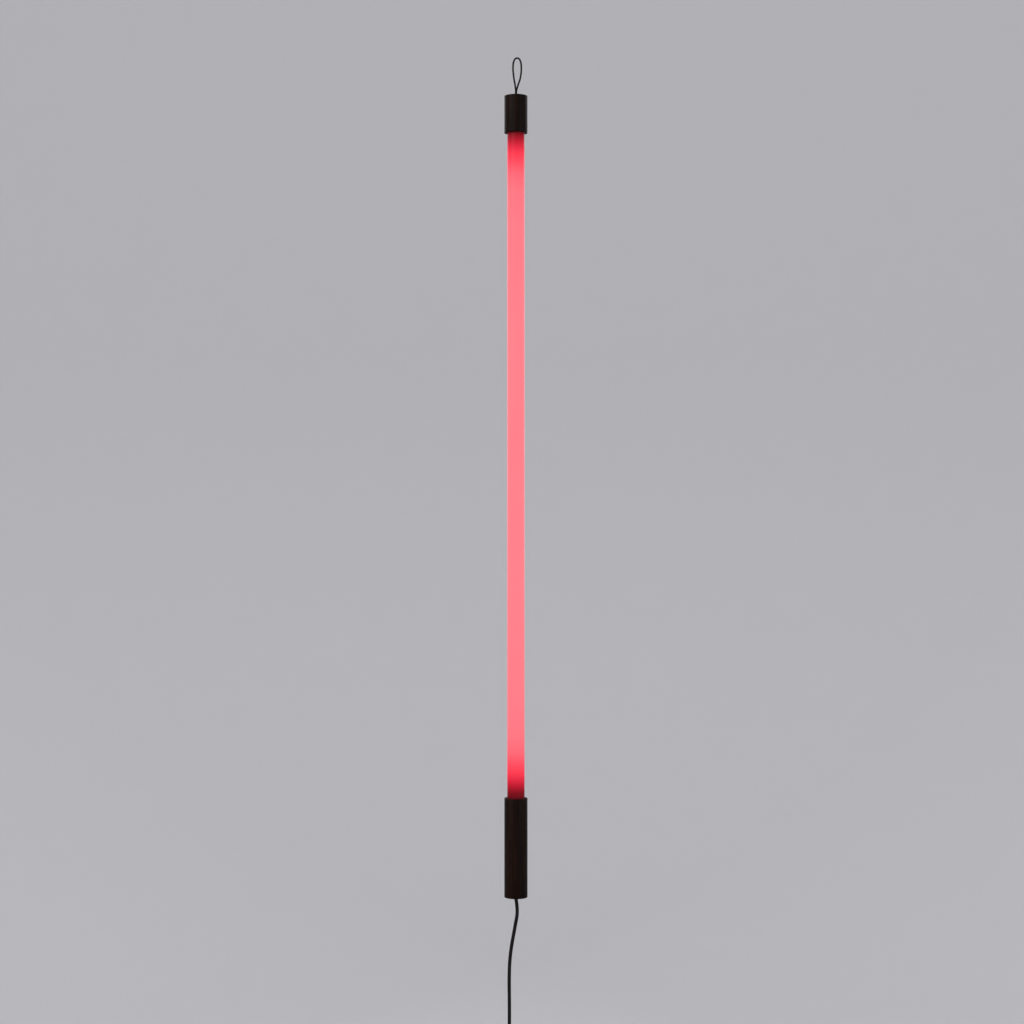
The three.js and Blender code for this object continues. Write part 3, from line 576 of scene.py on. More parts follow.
JACKET_TONES = [
    (0.30, (0.0040, 0.0028, 0.0036)),
    (0.62, (0.0070, 0.0052, 0.0064)),
    (0.85, (0.0160, 0.0130, 0.0150)),
]


def soft_jacket():
    """The lead's matt jacket: a fine skin that is a little uneven, with a trace of dust."""
    f = Finish("lead_jacket", (0.010, 0.008, 0.010), 0.6, shine=0.08)
    fine = f.noise(1800, 3)
    dust = f.noise(120, 4, rough=0.6)
    f.colour(f.ramp(dust, JACKET_TONES))
    f.roughness(dust, 0.5, 0.72)
    f.bump(fine, 0.00004, 0.6)
    f.bump(f.noise(300, 2), 0.00006, 0.3)
    return f.material


def moulded(name, colour, low=0.42, high=0.6, grain=1500, shine=0.3):
    """Moulded plastic with a fine spark-eroded texture."""
    f = Finish(name, colour, 0.5, shine=shine)
    fine = f.noise(grain, 3, rough=0.6)
    broad = f.noise(40, 3)
    f.colour(f.mix(broad, [c * 0.85 for c in colour], [min(1, c * 1.15) for c in colour]))
    f.roughness(fine, low, high)
    f.bump(fine, 0.00005, 0.5)
    return f.material


def metal(name, colour, squeeze=0.05):
    """Metal with a fine grain, drawn out into lines by a small squeeze, and a little tarnish."""
    f = Finish(name, colour, 0.35, 1.0)
    lines = f.noise(2500, 3, squeeze=squeeze)
    tarnish = f.noise(180, 4)
    f.colour(f.mix(tarnish, [c * 0.7 for c in colour], colour))
    f.roughness(lines, 0.22, 0.42)
    f.bump(lines, 0.00002, 0.5)
    return f.material


def circuit_board():
    """Green solder mask, with its tracks showing through it."""
    f = Finish("circuit_board", (0.012, 0.08, 0.03), 0.4)
    mask, other_mask, track = (0.010, 0.075, 0.028, 1), (0.014, 0.095, 0.035, 1), (0.03, 0.17, 0.07, 1)
    tracks = f.node("ShaderNodeTexBrick", Scale=220, Color1=mask, Color2=other_mask, Mortar=track)
    tracks.inputs["Mortar Size"].default_value = 0.03
    f.wire(f.place(), tracks.inputs["Vector"])
    f.colour(tracks.outputs["Color"])
    f.bump(tracks.outputs["Fac"], 0.00003, 0.5)
    return f.material


def phosphor():
    """The strip's silicone over its phosphor, alight."""
    f = Finish("phosphor", (0.85, 0.65, 0.2), 0.4)
    beads = f.noise(300, 2, squeeze=0.3)
    f.colour(f.ramp(beads, [(0.3, (0.75, 0.52, 0.12)), (0.7, (0.95, 0.78, 0.3))]))
    f.set("Emission Color", (1.0, 0.85, 0.6, 1))
    f.set("Emission Strength", 1.0)
    return f.material


THREAD_PITCH = 1.1 * MM


def woven_strap():
    """Woven strap with a napped face: one set of threads up it, one round it, coloured darker in the
    hollows of the weave as painted shade.
    """
    f = Finish("woven_strap", (0.012, 0.012, 0.013), 0.85, shine=0.1)
    place = f.split(f.place())
    turn = math.tau / THREAD_PITCH
    round_it = f.product(f.math("ADD", place["X"], place["Y"]), turn)
    up_it = f.product(place["Z"], turn)
    height = f.weave(f.math("SINE", round_it), f.math("SINE", up_it))
    # Painted shade: the colour is darker where the weave is low, between the threads, and lighter on
    # their tops.
    f.colour(f.ramp(height, [(0.0, (0.004, 0.004, 0.0045)), (0.8, (0.017, 0.017, 0.018))]))
    f.bump(height, 0.0002, 0.8)
    f.bump(f.noise(2600, 3), 0.00015, 0.6)
    f.set("Sheen Weight", 0.12)
    return f.material


# Tone of the floor from its middle out to where it curves up, and its trace of colour.
FLOOR_TONES = [(0.0, 0.27), (0.55, 0.31), (0.8, 0.45), (1.0, 0.62)]
FLOOR_GREEN, FLOOR_BLUE = 0.992, 1.008


def pale_stage():
    """The wall's one pale tone, and a floor that is deeper towards its middle, where most light falls."""
    f = Finish("stage", (0.62, 0.615, 0.625), 0.9, shine=0.1)
    place = f.split(f.place())
    share = f.math("DIVIDE", f.radius(place["X"], place["Y"]), ROOM_RADIUS - ROOM_CORNER, clamp=True)
    stops = [(at, (tone, tone * FLOOR_GREEN, tone * FLOOR_BLUE)) for at, tone in FLOOR_TONES]
    f.colour(f.ramp(share, stops))
    return f.material


WOOD = dark_wood()
LIT_TUBE = lit_tube()
LOOP_BRAID = braid("loop_braid", (0.0050, 0.0042, 0.0046), 6, 3 * MM, 0.00018)
JACKET = soft_jacket()
BLACK_PLASTIC = moulded("black_plastic", (0.008, 0.0072, 0.008), shine=0.18)
GLOSS_BLACK = moulded("rocker_plastic", (0.010, 0.010, 0.011), 0.22, 0.34, 2400)
WHITE_PLASTIC = moulded("white_plastic", (0.72, 0.71, 0.67))
RUBBER = moulded("rubber", (0.009, 0.0085, 0.009), 0.7, 0.9, shine=0.15)
ALUMINIUM = metal("aluminium", (0.72, 0.73, 0.74))
STEEL = metal("steel", (0.6, 0.6, 0.61), squeeze=1)
BRASS = metal("brass", (0.78, 0.6, 0.34))
BOARD = circuit_board()
PHOSPHOR = phosphor()
STRAP = woven_strap()
YELLOW_TAPE = moulded("yellow_tape", (0.62, 0.42, 0.05), 0.3, 0.45)
RED_CORE = moulded("red_core", (0.3, 0.02, 0.015))
BROWN_CORE = moulded("brown_core", (0.12, 0.045, 0.018))
BLUE_CORE = moulded("blue_core", (0.015, 0.05, 0.25))


def paint(piece, material):
    piece.data.materials.clear()
    piece.data.materials.append(material)
    return piece


def place_piece(piece, material, slot, *nodes, body="lamp"):
    """Gives a piece its material and its body, and hides the CAD nodes that it stands for. The slot is
    not used.
    """
    paint(piece, material)
    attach(piece, body)
    if nodes:
        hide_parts(*nodes)
    return piece


# ---- cords

LEAD_RADIUS = 3 * MM
LEAD_X = -11 * MM
BELOW_HANDLE = HANDLE_LOW.z
HELD = 0.5 * MM  # how far a lead's end runs into the switch

# Depth below the handle and place in x of the lead's centreline, in metres.
UPPER_ROUTE = [
    (0.0041, 0.0003), (0.0083, 0.0009), (0.018, 0.0019), (0.025, 0.0021),
    (0.032, 0.0016), (0.045, -0.0007), (0.059, -0.0032), (0.072, -0.0056),
    (0.086, -0.0079), (0.099, -0.0095), (0.113, -0.0106), (0.126, -0.0111),
    (0.139, -0.0113), (0.153, -0.0113), (0.167, -0.0111), (0.182, LEAD_X),
    (0.196, LEAD_X), (0.210, LEAD_X),
]

# The lead from the switch to its first turn: x from LEAD_X, y and z.
HANK_ENTRY = [
    (0.0, 0.0, SWITCH_LOW.z + HELD),
    (0.0, -0.0004, SWITCH_LOW.z - 0.007),
    (0.0, -0.0014, HANK_HIGH.z + 0.001),
    (-0.0002, -0.0019, HANK_HIGH.z - 0.010),
    (-0.0022, -0.0018, HANK_HIGH.z - 0.021),
    (-0.0058, -0.0012, HANK_HIGH.z - 0.032),
    (-0.0088, -0.0004, HANK_HIGH.z - 0.042),
]
TAIL_DROPS = (0.008, 0.015)  # the tail's points, below the last turn's

HANK_END_RADIUS = 18 * MM
HANK_WAIST = 10 * MM
HANK_LOOP_Z = 30 * MM
HANK_PITCH = 6.15 * MM
HANK_TURNS = 6
HANK_MIDDLE = (HANK_LOW.z + HANK_HIGH.z) / 2


def curve_piece(name, points, radius):
    """A cord as one open smooth spline, round in section."""
    data = bpy.data.curves.new(name, "CURVE")
    data.dimensions = "3D"
    data.bevel_depth = radius
    data.bevel_resolution = 5
    data.resolution_u = 5
    data.use_fill_caps = True
    spline = data.splines.new("BEZIER")
    spline.bezier_points.add(len(points) - 1)
    for knot, point in zip(spline.bezier_points, points):
        knot.co = point
        knot.handle_left_type = "AUTO"
        knot.handle_right_type = "AUTO"
    return link(name, data)


def upper_lead_points():
    points = [Vector((x, 0, BELOW_HANDLE - depth)) for depth, x in UPPER_ROUTE]
    return [*points, Vector((LEAD_X, 0, SWITCH_HIGH.z - HELD))]


def hank_points():
    """The lead from the switch: into the hank, round its turns and down to the plug."""
    rise, waist, end = HANK_LOOP_Z, HANK_WAIST, HANK_END_RADIUS
    hollow = (waist**2 + rise**2 - end**2) / (2 * (end - waist))
    across = waist + hollow
    lean = math.atan2(rise, across)
    half_waist = arc((-across, 0), hollow, 0, -lean, 3)
    lower_loop = arc((0, -rise), end, math.pi - lean, math.pi + 2 * lean, 12)
    right_waist = arc((across, 0), hollow, math.pi + lean, -2 * lean, 6)
    upper_loop = arc((0, rise), end, -lean, math.pi + 2 * lean, 12)
    last_waist = arc((-across, 0), hollow, lean, -lean, 3)
    turn = [*half_waist, *lower_loop, *right_waist, *upper_loop, *last_waist]
    tail = [*half_waist, *arc((0, -rise), end, math.pi - lean, lean, 3)]
    flat = [(-waist, 0.0), *turn * HANK_TURNS, *tail]
    steps = [math.dist(a, b) for a, b in zip(flat, flat[1:])]
    one_turn = sum(steps[: len(turn)])
    points, travelled = [], 0.0
    for (x, z), step in zip(flat, [*steps, 0.0]):
        points.append(Vector((LEAD_X + x, HANK_PITCH * travelled / one_turn, HANK_MIDDLE + z)))
        travelled += step
    entry = [Vector((LEAD_X + x, y, z)) for x, y, z in HANK_ENTRY]
    x, y, z = points[-1]
    below = [Vector((x, y, level)) for level in (*(z - drop for drop in TAIL_DROPS), PLUG_HIGH.z - MM)]
    return [*entry, *points, *below]


# Height above the cap and half width of the loop's centreline, in metres, from its top down.
LOOP_SIDE = [
    (0.0630, 0.0030), (0.0601, 0.0049), (0.0554, 0.0064), (0.0484, 0.0070),
    (0.0414, 0.0068), (0.0345, 0.0060), (0.0275, 0.0048), (0.0205, 0.00295),
    (0.0165, 0.00205), (0.0130, 0.00170), (0.0100, 0.00165), (0.0076, 0.00165),
]
LOOP_LEGS = (0.002, -0.004, -0.010, -0.016)  # heights on the way down to the crimp
LOOP_TOP = 0.0639
LOOP_LEAN = 0.00205
LEAN_FROM, LEAN_TO = 0.002, 0.0345  # the loop leans over between these heights
STRAND_RADIUS = 1.5 * MM
STRAND_SPREAD = 1.65 * MM
STRAND_TURN = math.radians(72)
TURN_FROM, TURN_TO = 0.0085, 0.0185  # its strands come side by side between these
PATH_STEP = 0.0007


def smoothstep(start, end, value):
    t = min(max((value - start) / (end - start), 0), 1)
    return t * t * (3 - 2 * t)


def loop_point(height, half, side):
    turn = STRAND_TURN * (1 - smoothstep(TURN_FROM, TURN_TO, height))
    x = LOOP_LEAN * smoothstep(LEAN_FROM, LEAN_TO, height) + side * half * math.cos(turn)
    return Vector((x, side * half * math.sin(turn), CAP_HIGH.z + height))


def loop_path():
    legs = [(height, STRAND_SPREAD) for height in (*LOOP_LEGS, CRIMP_LOW.z - CAP_HIGH.z)]
    left, right = ([loop_point(h, half, side) for h, half in [*LOOP_SIDE, *legs]] for side in (-1, 1))
    top = Vector((LOOP_LEAN, 0, CAP_HIGH.z + LOOP_TOP))
    return catmull([*reversed(left), top, *right], PATH_STEP)


def make_leads():
    upper = curve_piece("lead_upper", upper_lead_points(), LEAD_RADIUS)
    place_piece(upper, JACKET, "lead_jacket", "cord_upper")
    lower = curve_piece("lead_lower", hank_points(), LEAD_RADIUS)
    place_piece(lower, JACKET, "lead_jacket", "cord_lower", "cord_hank", "cord_tail")
    return upper, lower


def make_loop():
    path = loop_path()
    line = tube_mesh("loop_line", path, STRAND_RADIUS, sides=16)
    paint(line, LOOP_BRAID)
    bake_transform(line)
    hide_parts("hanging_loop", "loop_leg_left", "loop_leg_right")


# ---- wooden ends and the tube

WOOD_EDGE = 0.5 * MM
RING_GROOVE = 1.3 * MM
RING_HEIGHT = 2.6 * MM
TOP_RING = SLEEVE_HIGH.z - 12 * MM
BOTTOM_RING = SLEEVE_LOW.z + 9 * MM
CAP_ROOF = CAP_HIGH.z - 12 * MM
BUSH_HOLE = 4.6 * MM
GRUB_RADIUS = 2 * MM
GRUB_SUNK = 1.2 * MM
GRUB_IN = 14 * MM
GRUB_EDGE = 0.35 * MM
GRUB_LENGTH = END_RADIUS - GRUB_SUNK - BORE_RADIUS - 0.1 * MM
COUNTERSINK = 0.4 * MM
HOLE_FROM, HOLE_TO = 10 * MM, 25 * MM  # out from the axis, past both faces of the wall
SOCKET_RADIUS = 1.15 * MM
SOCKET_DEPTH = 1.6 * MM
BASE_SEAT = BASE_HIGH.x + CLEARANCE
BUSH_NECK = 4.3 * MM
BUSH_BORE = 3.5 * MM
BUSH_EDGE = 0.15 * MM
BUSH_SEAT = CAP_HIGH.z + 0.05 * MM


def screw_hole(piece, z):
    """The threaded hole in the rear of an end, with a small countersink."""
    radius = GRUB_RADIUS + CLEARANCE
    deep = rod(radius, Vector((0, HOLE_FROM, z)), Vector((0, HOLE_TO, z)))
    rim = lathe("rim", [(0, 0), (radius, 0), (radius + MM, MM), (0, MM)], 32)
    moved(rim, Vector((0, END_RADIUS - COUNTERSINK, z)), REAR)
    return cut(piece, deep, rim)


def ring_groove(bottom):
    """The corners of the groove that holds a rubber ring in an end's bore, from its top down."""
    deep, top = BORE_RADIUS + RING_GROOVE, bottom + RING_HEIGHT
    return [(BORE_RADIUS, top, 0), (deep, top, 0), (deep, bottom, 0), (BORE_RADIUS, bottom, 0)]


def make_cap():
    corners = [
        (BUSH_HOLE, CAP_ROOF, 0),
        (BORE_RADIUS, CAP_ROOF, 0),
        *ring_groove(TOP_RING),
        (BORE_RADIUS, CAP_LOW.z, SMALL_EDGE),
        (END_RADIUS, CAP_LOW.z, WOOD_EDGE),
        (END_RADIUS, CAP_HIGH.z, WOOD_EDGE),
        (BUSH_HOLE, CAP_HIGH.z, SMALL_EDGE),
    ]
    cap = screw_hole(lathe("wood_cap", fillet(corners)), CAP_LOW.z + GRUB_IN)
    place_piece(cap, WOOD, "dark_wood", "top_cap")


def make_handle():
    seat_top = BASE_HIGH.z + CLEARANCE
    corners = [
        (BASE_SEAT, HANDLE_LOW.z, FINE_EDGE),
        (END_RADIUS, HANDLE_LOW.z, WOOD_EDGE),
        (END_RADIUS, HANDLE_HIGH.z, WOOD_EDGE),
        (BORE_RADIUS, HANDLE_HIGH.z, SMALL_EDGE),
        *ring_groove(BOTTOM_RING),
        (BORE_RADIUS, seat_top, 0),
        (BASE_SEAT, seat_top, 0),
    ]
    handle = screw_hole(lathe("wood_handle", fillet(corners)), HANDLE_HIGH.z - GRUB_IN)
    place_piece(handle, WOOD, "dark_wood", "handle")


def make_grub_screw(node, z):
    """A grub screw with a hexagon socket, in the rear of an end."""
    corners = [
        (0, -GRUB_LENGTH, 0), (GRUB_RADIUS, -GRUB_LENGTH, GRUB_EDGE),
        (GRUB_RADIUS, 0, GRUB_EDGE), (0, 0, 0),
    ]
    screw = lathe("socket_" + node, fillet(corners), 32)
    cut(screw, rod(SOCKET_RADIUS, Vector((0, 0, -SOCKET_DEPTH)), Vector((0, 0, MM)), sides=6))
    moved(screw, Vector((0, END_RADIUS - GRUB_SUNK, z)), REAR)
    place_piece(screw, STEEL, "steel", node)


def make_tube():
    wall = rectangle(TUBE_RADIUS - TUBE_WALL, TUBE_RADIUS, SLEEVE_LOW.z, SLEEVE_HIGH.z, FINE_EDGE)
    tube = lathe("lit_tube", fillet(wall, 3))
    place_piece(tube, LIT_TUBE, "red_tube", "colour_sleeve")


def make_bush():
    """The bush that the loop goes in through, with a flange on the cap."""
    corners = [
        (BUSH_BORE, BUSH_LOW.z, 0),
        (BUSH_NECK, BUSH_LOW.z, 0),
        (BUSH_NECK, BUSH_SEAT, 0),
        (BUSH_HIGH.x, BUSH_SEAT, BUSH_EDGE),
        (BUSH_HIGH.x, BUSH_HIGH.z, SOFT_EDGE),
        (BUSH_BORE, BUSH_HIGH.z, WOOD_EDGE),
    ]
    bush = lathe("neck_bush", fillet(corners), 64)
    place_piece(bush, BLACK_PLASTIC, "black_plastic", "loop_bush")


# ---- base of the handle

BASE_SCREW_X = 10.5 * MM
BASE_HOLE = 6.6 * MM
BASE_SHANK = 1.25 * MM
BASE_HEAD = 2.4 * MM
BASE_HEAD_DEPTH = 1.4 * MM
BASE_HEAD_SUNK = 0.3 * MM
CROSS_LENGTH, CROSS_WIDTH = 1.15, 0.24  # of a screw's cross, as shares of its head's radius
RELIEF_THIN = 4.5 * MM
RELIEF_STEP = 4.9 * MM
RELIEF_THICK = 5.9 * MM
RELIEF_TOP = 5 * MM
STEP_FROM, STEP_TO = 2.2 * MM, 3.4 * MM
FLANGE_HEIGHT = 2.5 * MM


def cross_screw(name, place, facing, head, depth, shank, length):
    """A pan-head screw with a cross recess. Its head's outer face is at place."""
    corners = [
        (0, -length, 0), (shank, -length, 0), (shank, -depth, 0),
        (head, -depth, 0), (head, 0, depth * 0.6), (0, 0, 0),
    ]
    screw = lathe(name, fillet(corners), 40)
    long, wide = head * CROSS_LENGTH, head * CROSS_WIDTH
    for x, y in ((long, wide), (wide, long)):
        cut(screw, box(Vector((0, 0, 0)), Vector((x, y, depth))))
    return moved(screw, place, facing)


def make_base():
    corners = [
        (BASE_HOLE, BASE_LOW.z, WOOD_EDGE),
        (BASE_HIGH.x, BASE_LOW.z, SOFT_EDGE),
        (BASE_HIGH.x, BASE_HIGH.z, 0),
        (BASE_HOLE, BASE_HIGH.z, 0),
    ]
    base = lathe("wood_base", fillet(corners))
    sunk = BASE_HEAD_DEPTH + 2 * BASE_HEAD_SUNK
    for side, x in (("left", -BASE_SCREW_X), ("right", BASE_SCREW_X)):
        below, above = Vector((x, 0, BASE_LOW.z - MM)), Vector((x, 0, BASE_HIGH.z + MM))
        cut(base, rod(BASE_SHANK + CLEARANCE, below, above))
        cut(base, rod(BASE_HEAD + CLEARANCE, below, Vector((x, 0, BASE_LOW.z + sunk))))
        node = "base_screw_" + side
        low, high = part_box(node)
        place = Vector((x, 0, BASE_LOW.z + BASE_HEAD_SUNK))
        shape = (BASE_HEAD, BASE_HEAD_DEPTH, BASE_SHANK, high.z - low.z)
        screw = cross_screw("cross_" + node, place, DOWN, *shape)
        place_piece(screw, STEEL, "steel", node)
    place_piece(base, WOOD, "dark_wood", "handle_base")


def make_relief():
    """The rubber strain relief, with a rounded lip where the lead leaves it."""
    bottom, top, flange = GLAND_LOW.z, GLAND_HIGH.z, BASE_HIGH.z + CLEARANCE
    bore = LEAD_RADIUS + CLEARANCE
    corners = [
        (bore, bottom, FINE_EDGE),
        (RELIEF_THIN, bottom, SOFT_EDGE),
        (RELIEF_STEP, bottom + STEP_FROM, SMALL_EDGE),
        (RELIEF_THICK, bottom + STEP_TO, FINE_EDGE),
        (RELIEF_THICK, flange, 0),
        (GLAND_HIGH.x, flange, 0),
        (GLAND_HIGH.x, flange + FLANGE_HEIGHT, FINE_EDGE),
        (RELIEF_THICK, flange + FLANGE_HEIGHT, 0),
        (RELIEF_TOP, top, FINE_EDGE),
        (bore, top, 0),
    ]
    relief = lathe("lead_relief", fillet(corners), 64)
    return place_piece(relief, RUBBER, "black_plastic", "cord_gland")


# ---- in-line switch

SWITCH_WIDTH = SWITCH_HIGH.x - SWITCH_LOW.x
SWITCH_LENGTH = SWITCH_HIGH.z - SWITCH_LOW.z
SWITCH_HALF_DEPTH = 10 * MM
SWITCH_MIDDLE = Vector((LEAD_X, 0, (SWITCH_LOW.z + SWITCH_HIGH.z) / 2))
SWITCH_CORNER = 6 * MM
SWITCH_EDGE = 2.4 * MM
SWITCH_WALL = 1.8 * MM
SEAM = 0.15 * MM
SEAM_EDGE = 0.35 * MM
LEAD_SLACK = 0.2 * MM
ROCKER_HALF_WIDTH = 6 * MM
ROCKER_REACH = 10 * MM
ROCKER_AXIS_Y = -5.5 * MM
ROCKER_TILT = math.radians(-9)
ROCKER_EDGE = 0.5 * MM
ROCKER_FRONT = -5.6 * MM  # in y from the rocker's axis
ROCKER_HOLLOW = -4.3 * MM
HOLLOW_RADIUS = 24 * MM
ROCKER_BACK, BACK_HALF = 2.4 * MM, 2 * MM
ROCKER_END, END_BACK = 9.4 * MM, 0.5 * MM
WINDOW_WIDTH, WINDOW_LENGTH = 12.8 * MM, 22.6 * MM
RIM_WIDTH, RIM_HEIGHT, RIM_SUNK = 1.5 * MM, 0.6 * MM, 1.2 * MM
SWITCH_SCREW_X, SWITCH_SCREW_Z = 7.2 * MM, 21 * MM
POST_BORE, POST_RADIUS, HEAD_ROOM = 1.3 * MM, 2.8 * MM, 2.2 * MM
POST_FROM, HEAD_SEAT, POST_TO = 0.5 * MM, 7.7 * MM, 8.4 * MM
HEAD_FACE, CUT_TO = 9.6 * MM, 12 * MM
LINE_FROM, LINE_PITCH, LINE_RADIUS = 5.2 * MM, 1.5 * MM, 0.35 * MM
LINE_REACH = 0.66  # of the rocker's half width
LINE_FRONT, LINE_SLOPE = -4.2 * MM, 0.13


def switch_ring(y, inset):
    width, length = SWITCH_WIDTH - 2 * inset, SWITCH_LENGTH - 2 * inset
    outline = rounded_rectangle(width, length, SWITCH_CORNER - inset)
    return [SWITCH_MIDDLE + Vector((x, y, z)) for x, z in outline]


def switch_shell(name, way):
    """One half of the shell: way is -1 for the cover, in front, and 1 for the base, behind."""
    levels = edge_levels(way * SWITCH_HALF_DEPTH, way * (SEAM + SEAM_EDGE), SWITCH_EDGE)
    levels.append((way * SEAM, SEAM_EDGE))
    shell = loft(name, [switch_ring(y, inset) for y, inset in levels])
    room = [switch_ring(y, SWITCH_WALL) for y in (-way * MM, way * (SWITCH_HALF_DEPTH - SWITCH_WALL))]
    reach = Vector((0, 0, SWITCH_LENGTH))
    lead = rod(LEAD_RADIUS + LEAD_SLACK, SWITCH_MIDDLE - reach, SWITCH_MIDDLE + reach)
    return cut(shell, loft("room", room), lead)


def window_frame():
    """A slim raised rim round the rocker's window."""
    front, back = -SWITCH_HALF_DEPTH - RIM_HEIGHT, -SWITCH_HALF_DEPTH + RIM_SUNK
    inner, outer = 0.25 * MM, 0.35 * MM
    corners = [(0, back, 0), (0, front, inner), (RIM_WIDTH, front, outer), (RIM_WIDTH, back, 0)]
    rings = []
    for out, y in fillet(corners, 3):
        outline = rounded_rectangle(WINDOW_WIDTH + 2 * out, WINDOW_LENGTH + 2 * out, MM + out)
        rings.append([SWITCH_MIDDLE + Vector((x, y, z)) for x, z in outline])
    return loft("window_frame", rings, closed=True)


def make_switch_cover():
    cover = switch_shell("cover_shell", -1)
    window = Vector((WINDOW_WIDTH, 2 * SWITCH_HALF_DEPTH, WINDOW_LENGTH))
    cut(cover, box(SWITCH_MIDDLE + FRONT * SWITCH_HALF_DEPTH, window))
    cover = joined("switch_cover_shell", [cover, window_frame()])
    return place_piece(cover, BLACK_PLASTIC, "black_plastic", "switch_cover")


def make_switch_base():
    """The base's shell, and a hollow post round each of its screws."""
    base = switch_shell("base_shell", 1)
    outline = [
        (POST_BORE, POST_FROM), (POST_RADIUS, POST_FROM), (POST_RADIUS, POST_TO),
        (HEAD_ROOM, POST_TO), (HEAD_ROOM, HEAD_SEAT), (POST_BORE, HEAD_SEAT),
    ]
    posts = []
    for z in (-SWITCH_SCREW_Z, SWITCH_SCREW_Z):
        place = SWITCH_MIDDLE + Vector((SWITCH_SCREW_X, 0, z))
        cut(base, rod(HEAD_ROOM, place + REAR * HEAD_SEAT, place + REAR * CUT_TO))
        posts.append(moved(lathe("post", outline, 32), place, REAR))
    base = joined("switch_base_shell", [base, *posts])
    return place_piece(base, BLACK_PLASTIC, "black_plastic", "switch_base")


def make_switch_screws():
    head, depth, shank, length = 1.9 * MM, 1.6 * MM, MM, 16.1 * MM
    made = []
    for side, z in (("top", SWITCH_SCREW_Z), ("bottom", -SWITCH_SCREW_Z)):
        node = "switch_screw_" + side
        place = SWITCH_MIDDLE + Vector((SWITCH_SCREW_X, HEAD_FACE, z))
        screw = cross_screw("cross_" + node, place, REAR, head, depth, shank, length)
        made.append(place_piece(screw, STEEL, "steel", node))
    return made


def rocker_lines():
    """Three raised lines on each of the rocker's two faces."""
    lines = []
    for way in (-1, 1):
        for line in range(3):
            z = way * (LINE_FROM + LINE_PITCH * line)
            x, y = ROCKER_HALF_WIDTH * LINE_REACH, LINE_FRONT - abs(z) * LINE_SLOPE
            lines.append(rod(LINE_RADIUS, Vector((-x, y, z)), Vector((x, y, z)), sides=16))
    return lines


def make_rocker():
    """The rocker: two gently hollow faces, tipped to one side, with raised lines on each."""
    corners = [
        (ROCKER_FRONT, -ROCKER_REACH, ROCKER_EDGE),
        (END_BACK, -ROCKER_END, 0),
        (ROCKER_BACK, -BACK_HALF, 0),
        (ROCKER_BACK, BACK_HALF, 0),
        (END_BACK, ROCKER_END, 0),
        (ROCKER_FRONT, ROCKER_REACH, ROCKER_EDGE),
        (ROCKER_HOLLOW, 0, HOLLOW_RADIUS),
    ]
    side = fillet(corners, 10)
    left, right = (edge_levels(way * ROCKER_HALF_WIDTH, 0, ROCKER_EDGE) for way in (-1, 1))
    levels = [*left, *reversed(right[:-1])]
    middle = Vector((sum(p.x for p in side), sum(p.y for p in side))) / len(side)
    rings = []
    for x, inset in levels:
        shrunk = [p + (middle - p).normalized() * inset for p in side]
        rings.append([Vector((x, p.x, p.y)) for p in shrunk])
    rocker = joined("rocker_key", [loft("key", rings), *rocker_lines()])
    axis = SWITCH_MIDDLE + Vector((0, ROCKER_AXIS_Y, 0))
    rocker.data.transform(Matrix.Translation(axis) @ Matrix.Rotation(ROCKER_TILT, 4, "X"))
    return place_piece(rocker, GLOSS_BLACK, "black_plastic", "switch_rocker", body="rocker")


# ---- tie and plug

TIE_THICK = 1.4 * MM
TIE_HALF_WIDTH = 13.9 * MM
TIE_FRONT = -3.7 * MM
TIE_BACK = 40.2 * MM
TIE_CORNER = 5 * MM
TIE_EDGE = 0.4 * MM
LAP_GAP = 0.05 * MM
LAP_NARROWER = 0.6 * MM
TIE_MIDDLE_Y = (TIE_FRONT + TIE_BACK) / 2
TIE_DEPTH = TIE_BACK - TIE_FRONT
TAIL_X = (TAIL_LOW.x + TAIL_HIGH.x) / 2
TAIL_Y = (TAIL_LOW.y + TAIL_HIGH.y) / 2


def tie_outline(offset):
    return rounded_rectangle(2 * (TIE_HALF_WIDTH + offset), TIE_DEPTH + 2 * offset, TIE_CORNER + offset)


def tie_place(x, y, z):
    return Vector((LEAD_X + x, TIE_MIDDLE_Y + y, z))


def make_tie():
    """A hook-and-loop strap round the hank's waist, with its free end lapped over the front."""
    low, high = TIE_LOW.z, TIE_HIGH.z
    profile = fillet(rectangle(0, TIE_THICK, low, high, TIE_EDGE), 3)
    levels = [[tie_place(x, y, z) for x, y in tie_outline(out)] for out, z in profile]
    ring = loft("strap_ring", levels, closed=True)
    lap = tie_outline(1.5 * TIE_THICK + LAP_GAP)
    quarter = len(lap) // 4
    front_corners = lap[2 * quarter : 4 * quarter]
    start = [(front_corners[0][0], y * MM) for y in (2, -4, -10)]
    finish = [(front_corners[-1][0], y * MM) for y in (-12, -6, 0, 4)]
    across = [(x * MM, front_corners[quarter][1]) for x in (-6, 0, 6)]
    path = [*start, *front_corners[:quarter], *across, *front_corners[quarter:], *finish]
    section = rounded_rectangle(TIE_THICK, high - low - LAP_NARROWER, TIE_EDGE, 3)
    middle = (low + high) / 2
    rings = []
    for i, (x, y) in enumerate(path):
        before, after = path[max(i - 1, 0)], path[min(i + 1, len(path) - 1)]
        along = Vector((after[0] - before[0], after[1] - before[1])).normalized()
        out = Vector((along.y, -along.x))
        rings.append([tie_place(x + out.x * t, y + out.y * t, middle + z) for t, z in section])
    tie = joined("strap", [ring, loft("strap_lap", rings)])
    return place_piece(tie, STRAP, "tie_fabric", "hank_tie")


PLUG_RELIEF = 20 * MM
PLUG_THICK = PLUG_HIGH.y - PLUG_LOW.y
PLUG_WIDTH = PLUG_HIGH.x - PLUG_LOW.x
PLUG_BODY_TOP = PLUG_HIGH.z - PLUG_RELIEF
PLUG_CORNER = 5 * MM
PLUG_EDGE = 1.6 * MM
PLUG_STRAIGHT = 8 * MM
PLUG_SHOULDER = 18 * MM
PLUG_NECK = 11.6 * MM
RIBS = 6
RIB_PITCH = PLUG_RELIEF / (RIBS + 0.5)
LAST_RIB_RADIUS = 4.1 * MM
PLUG_END_RADIUS = 3.3 * MM
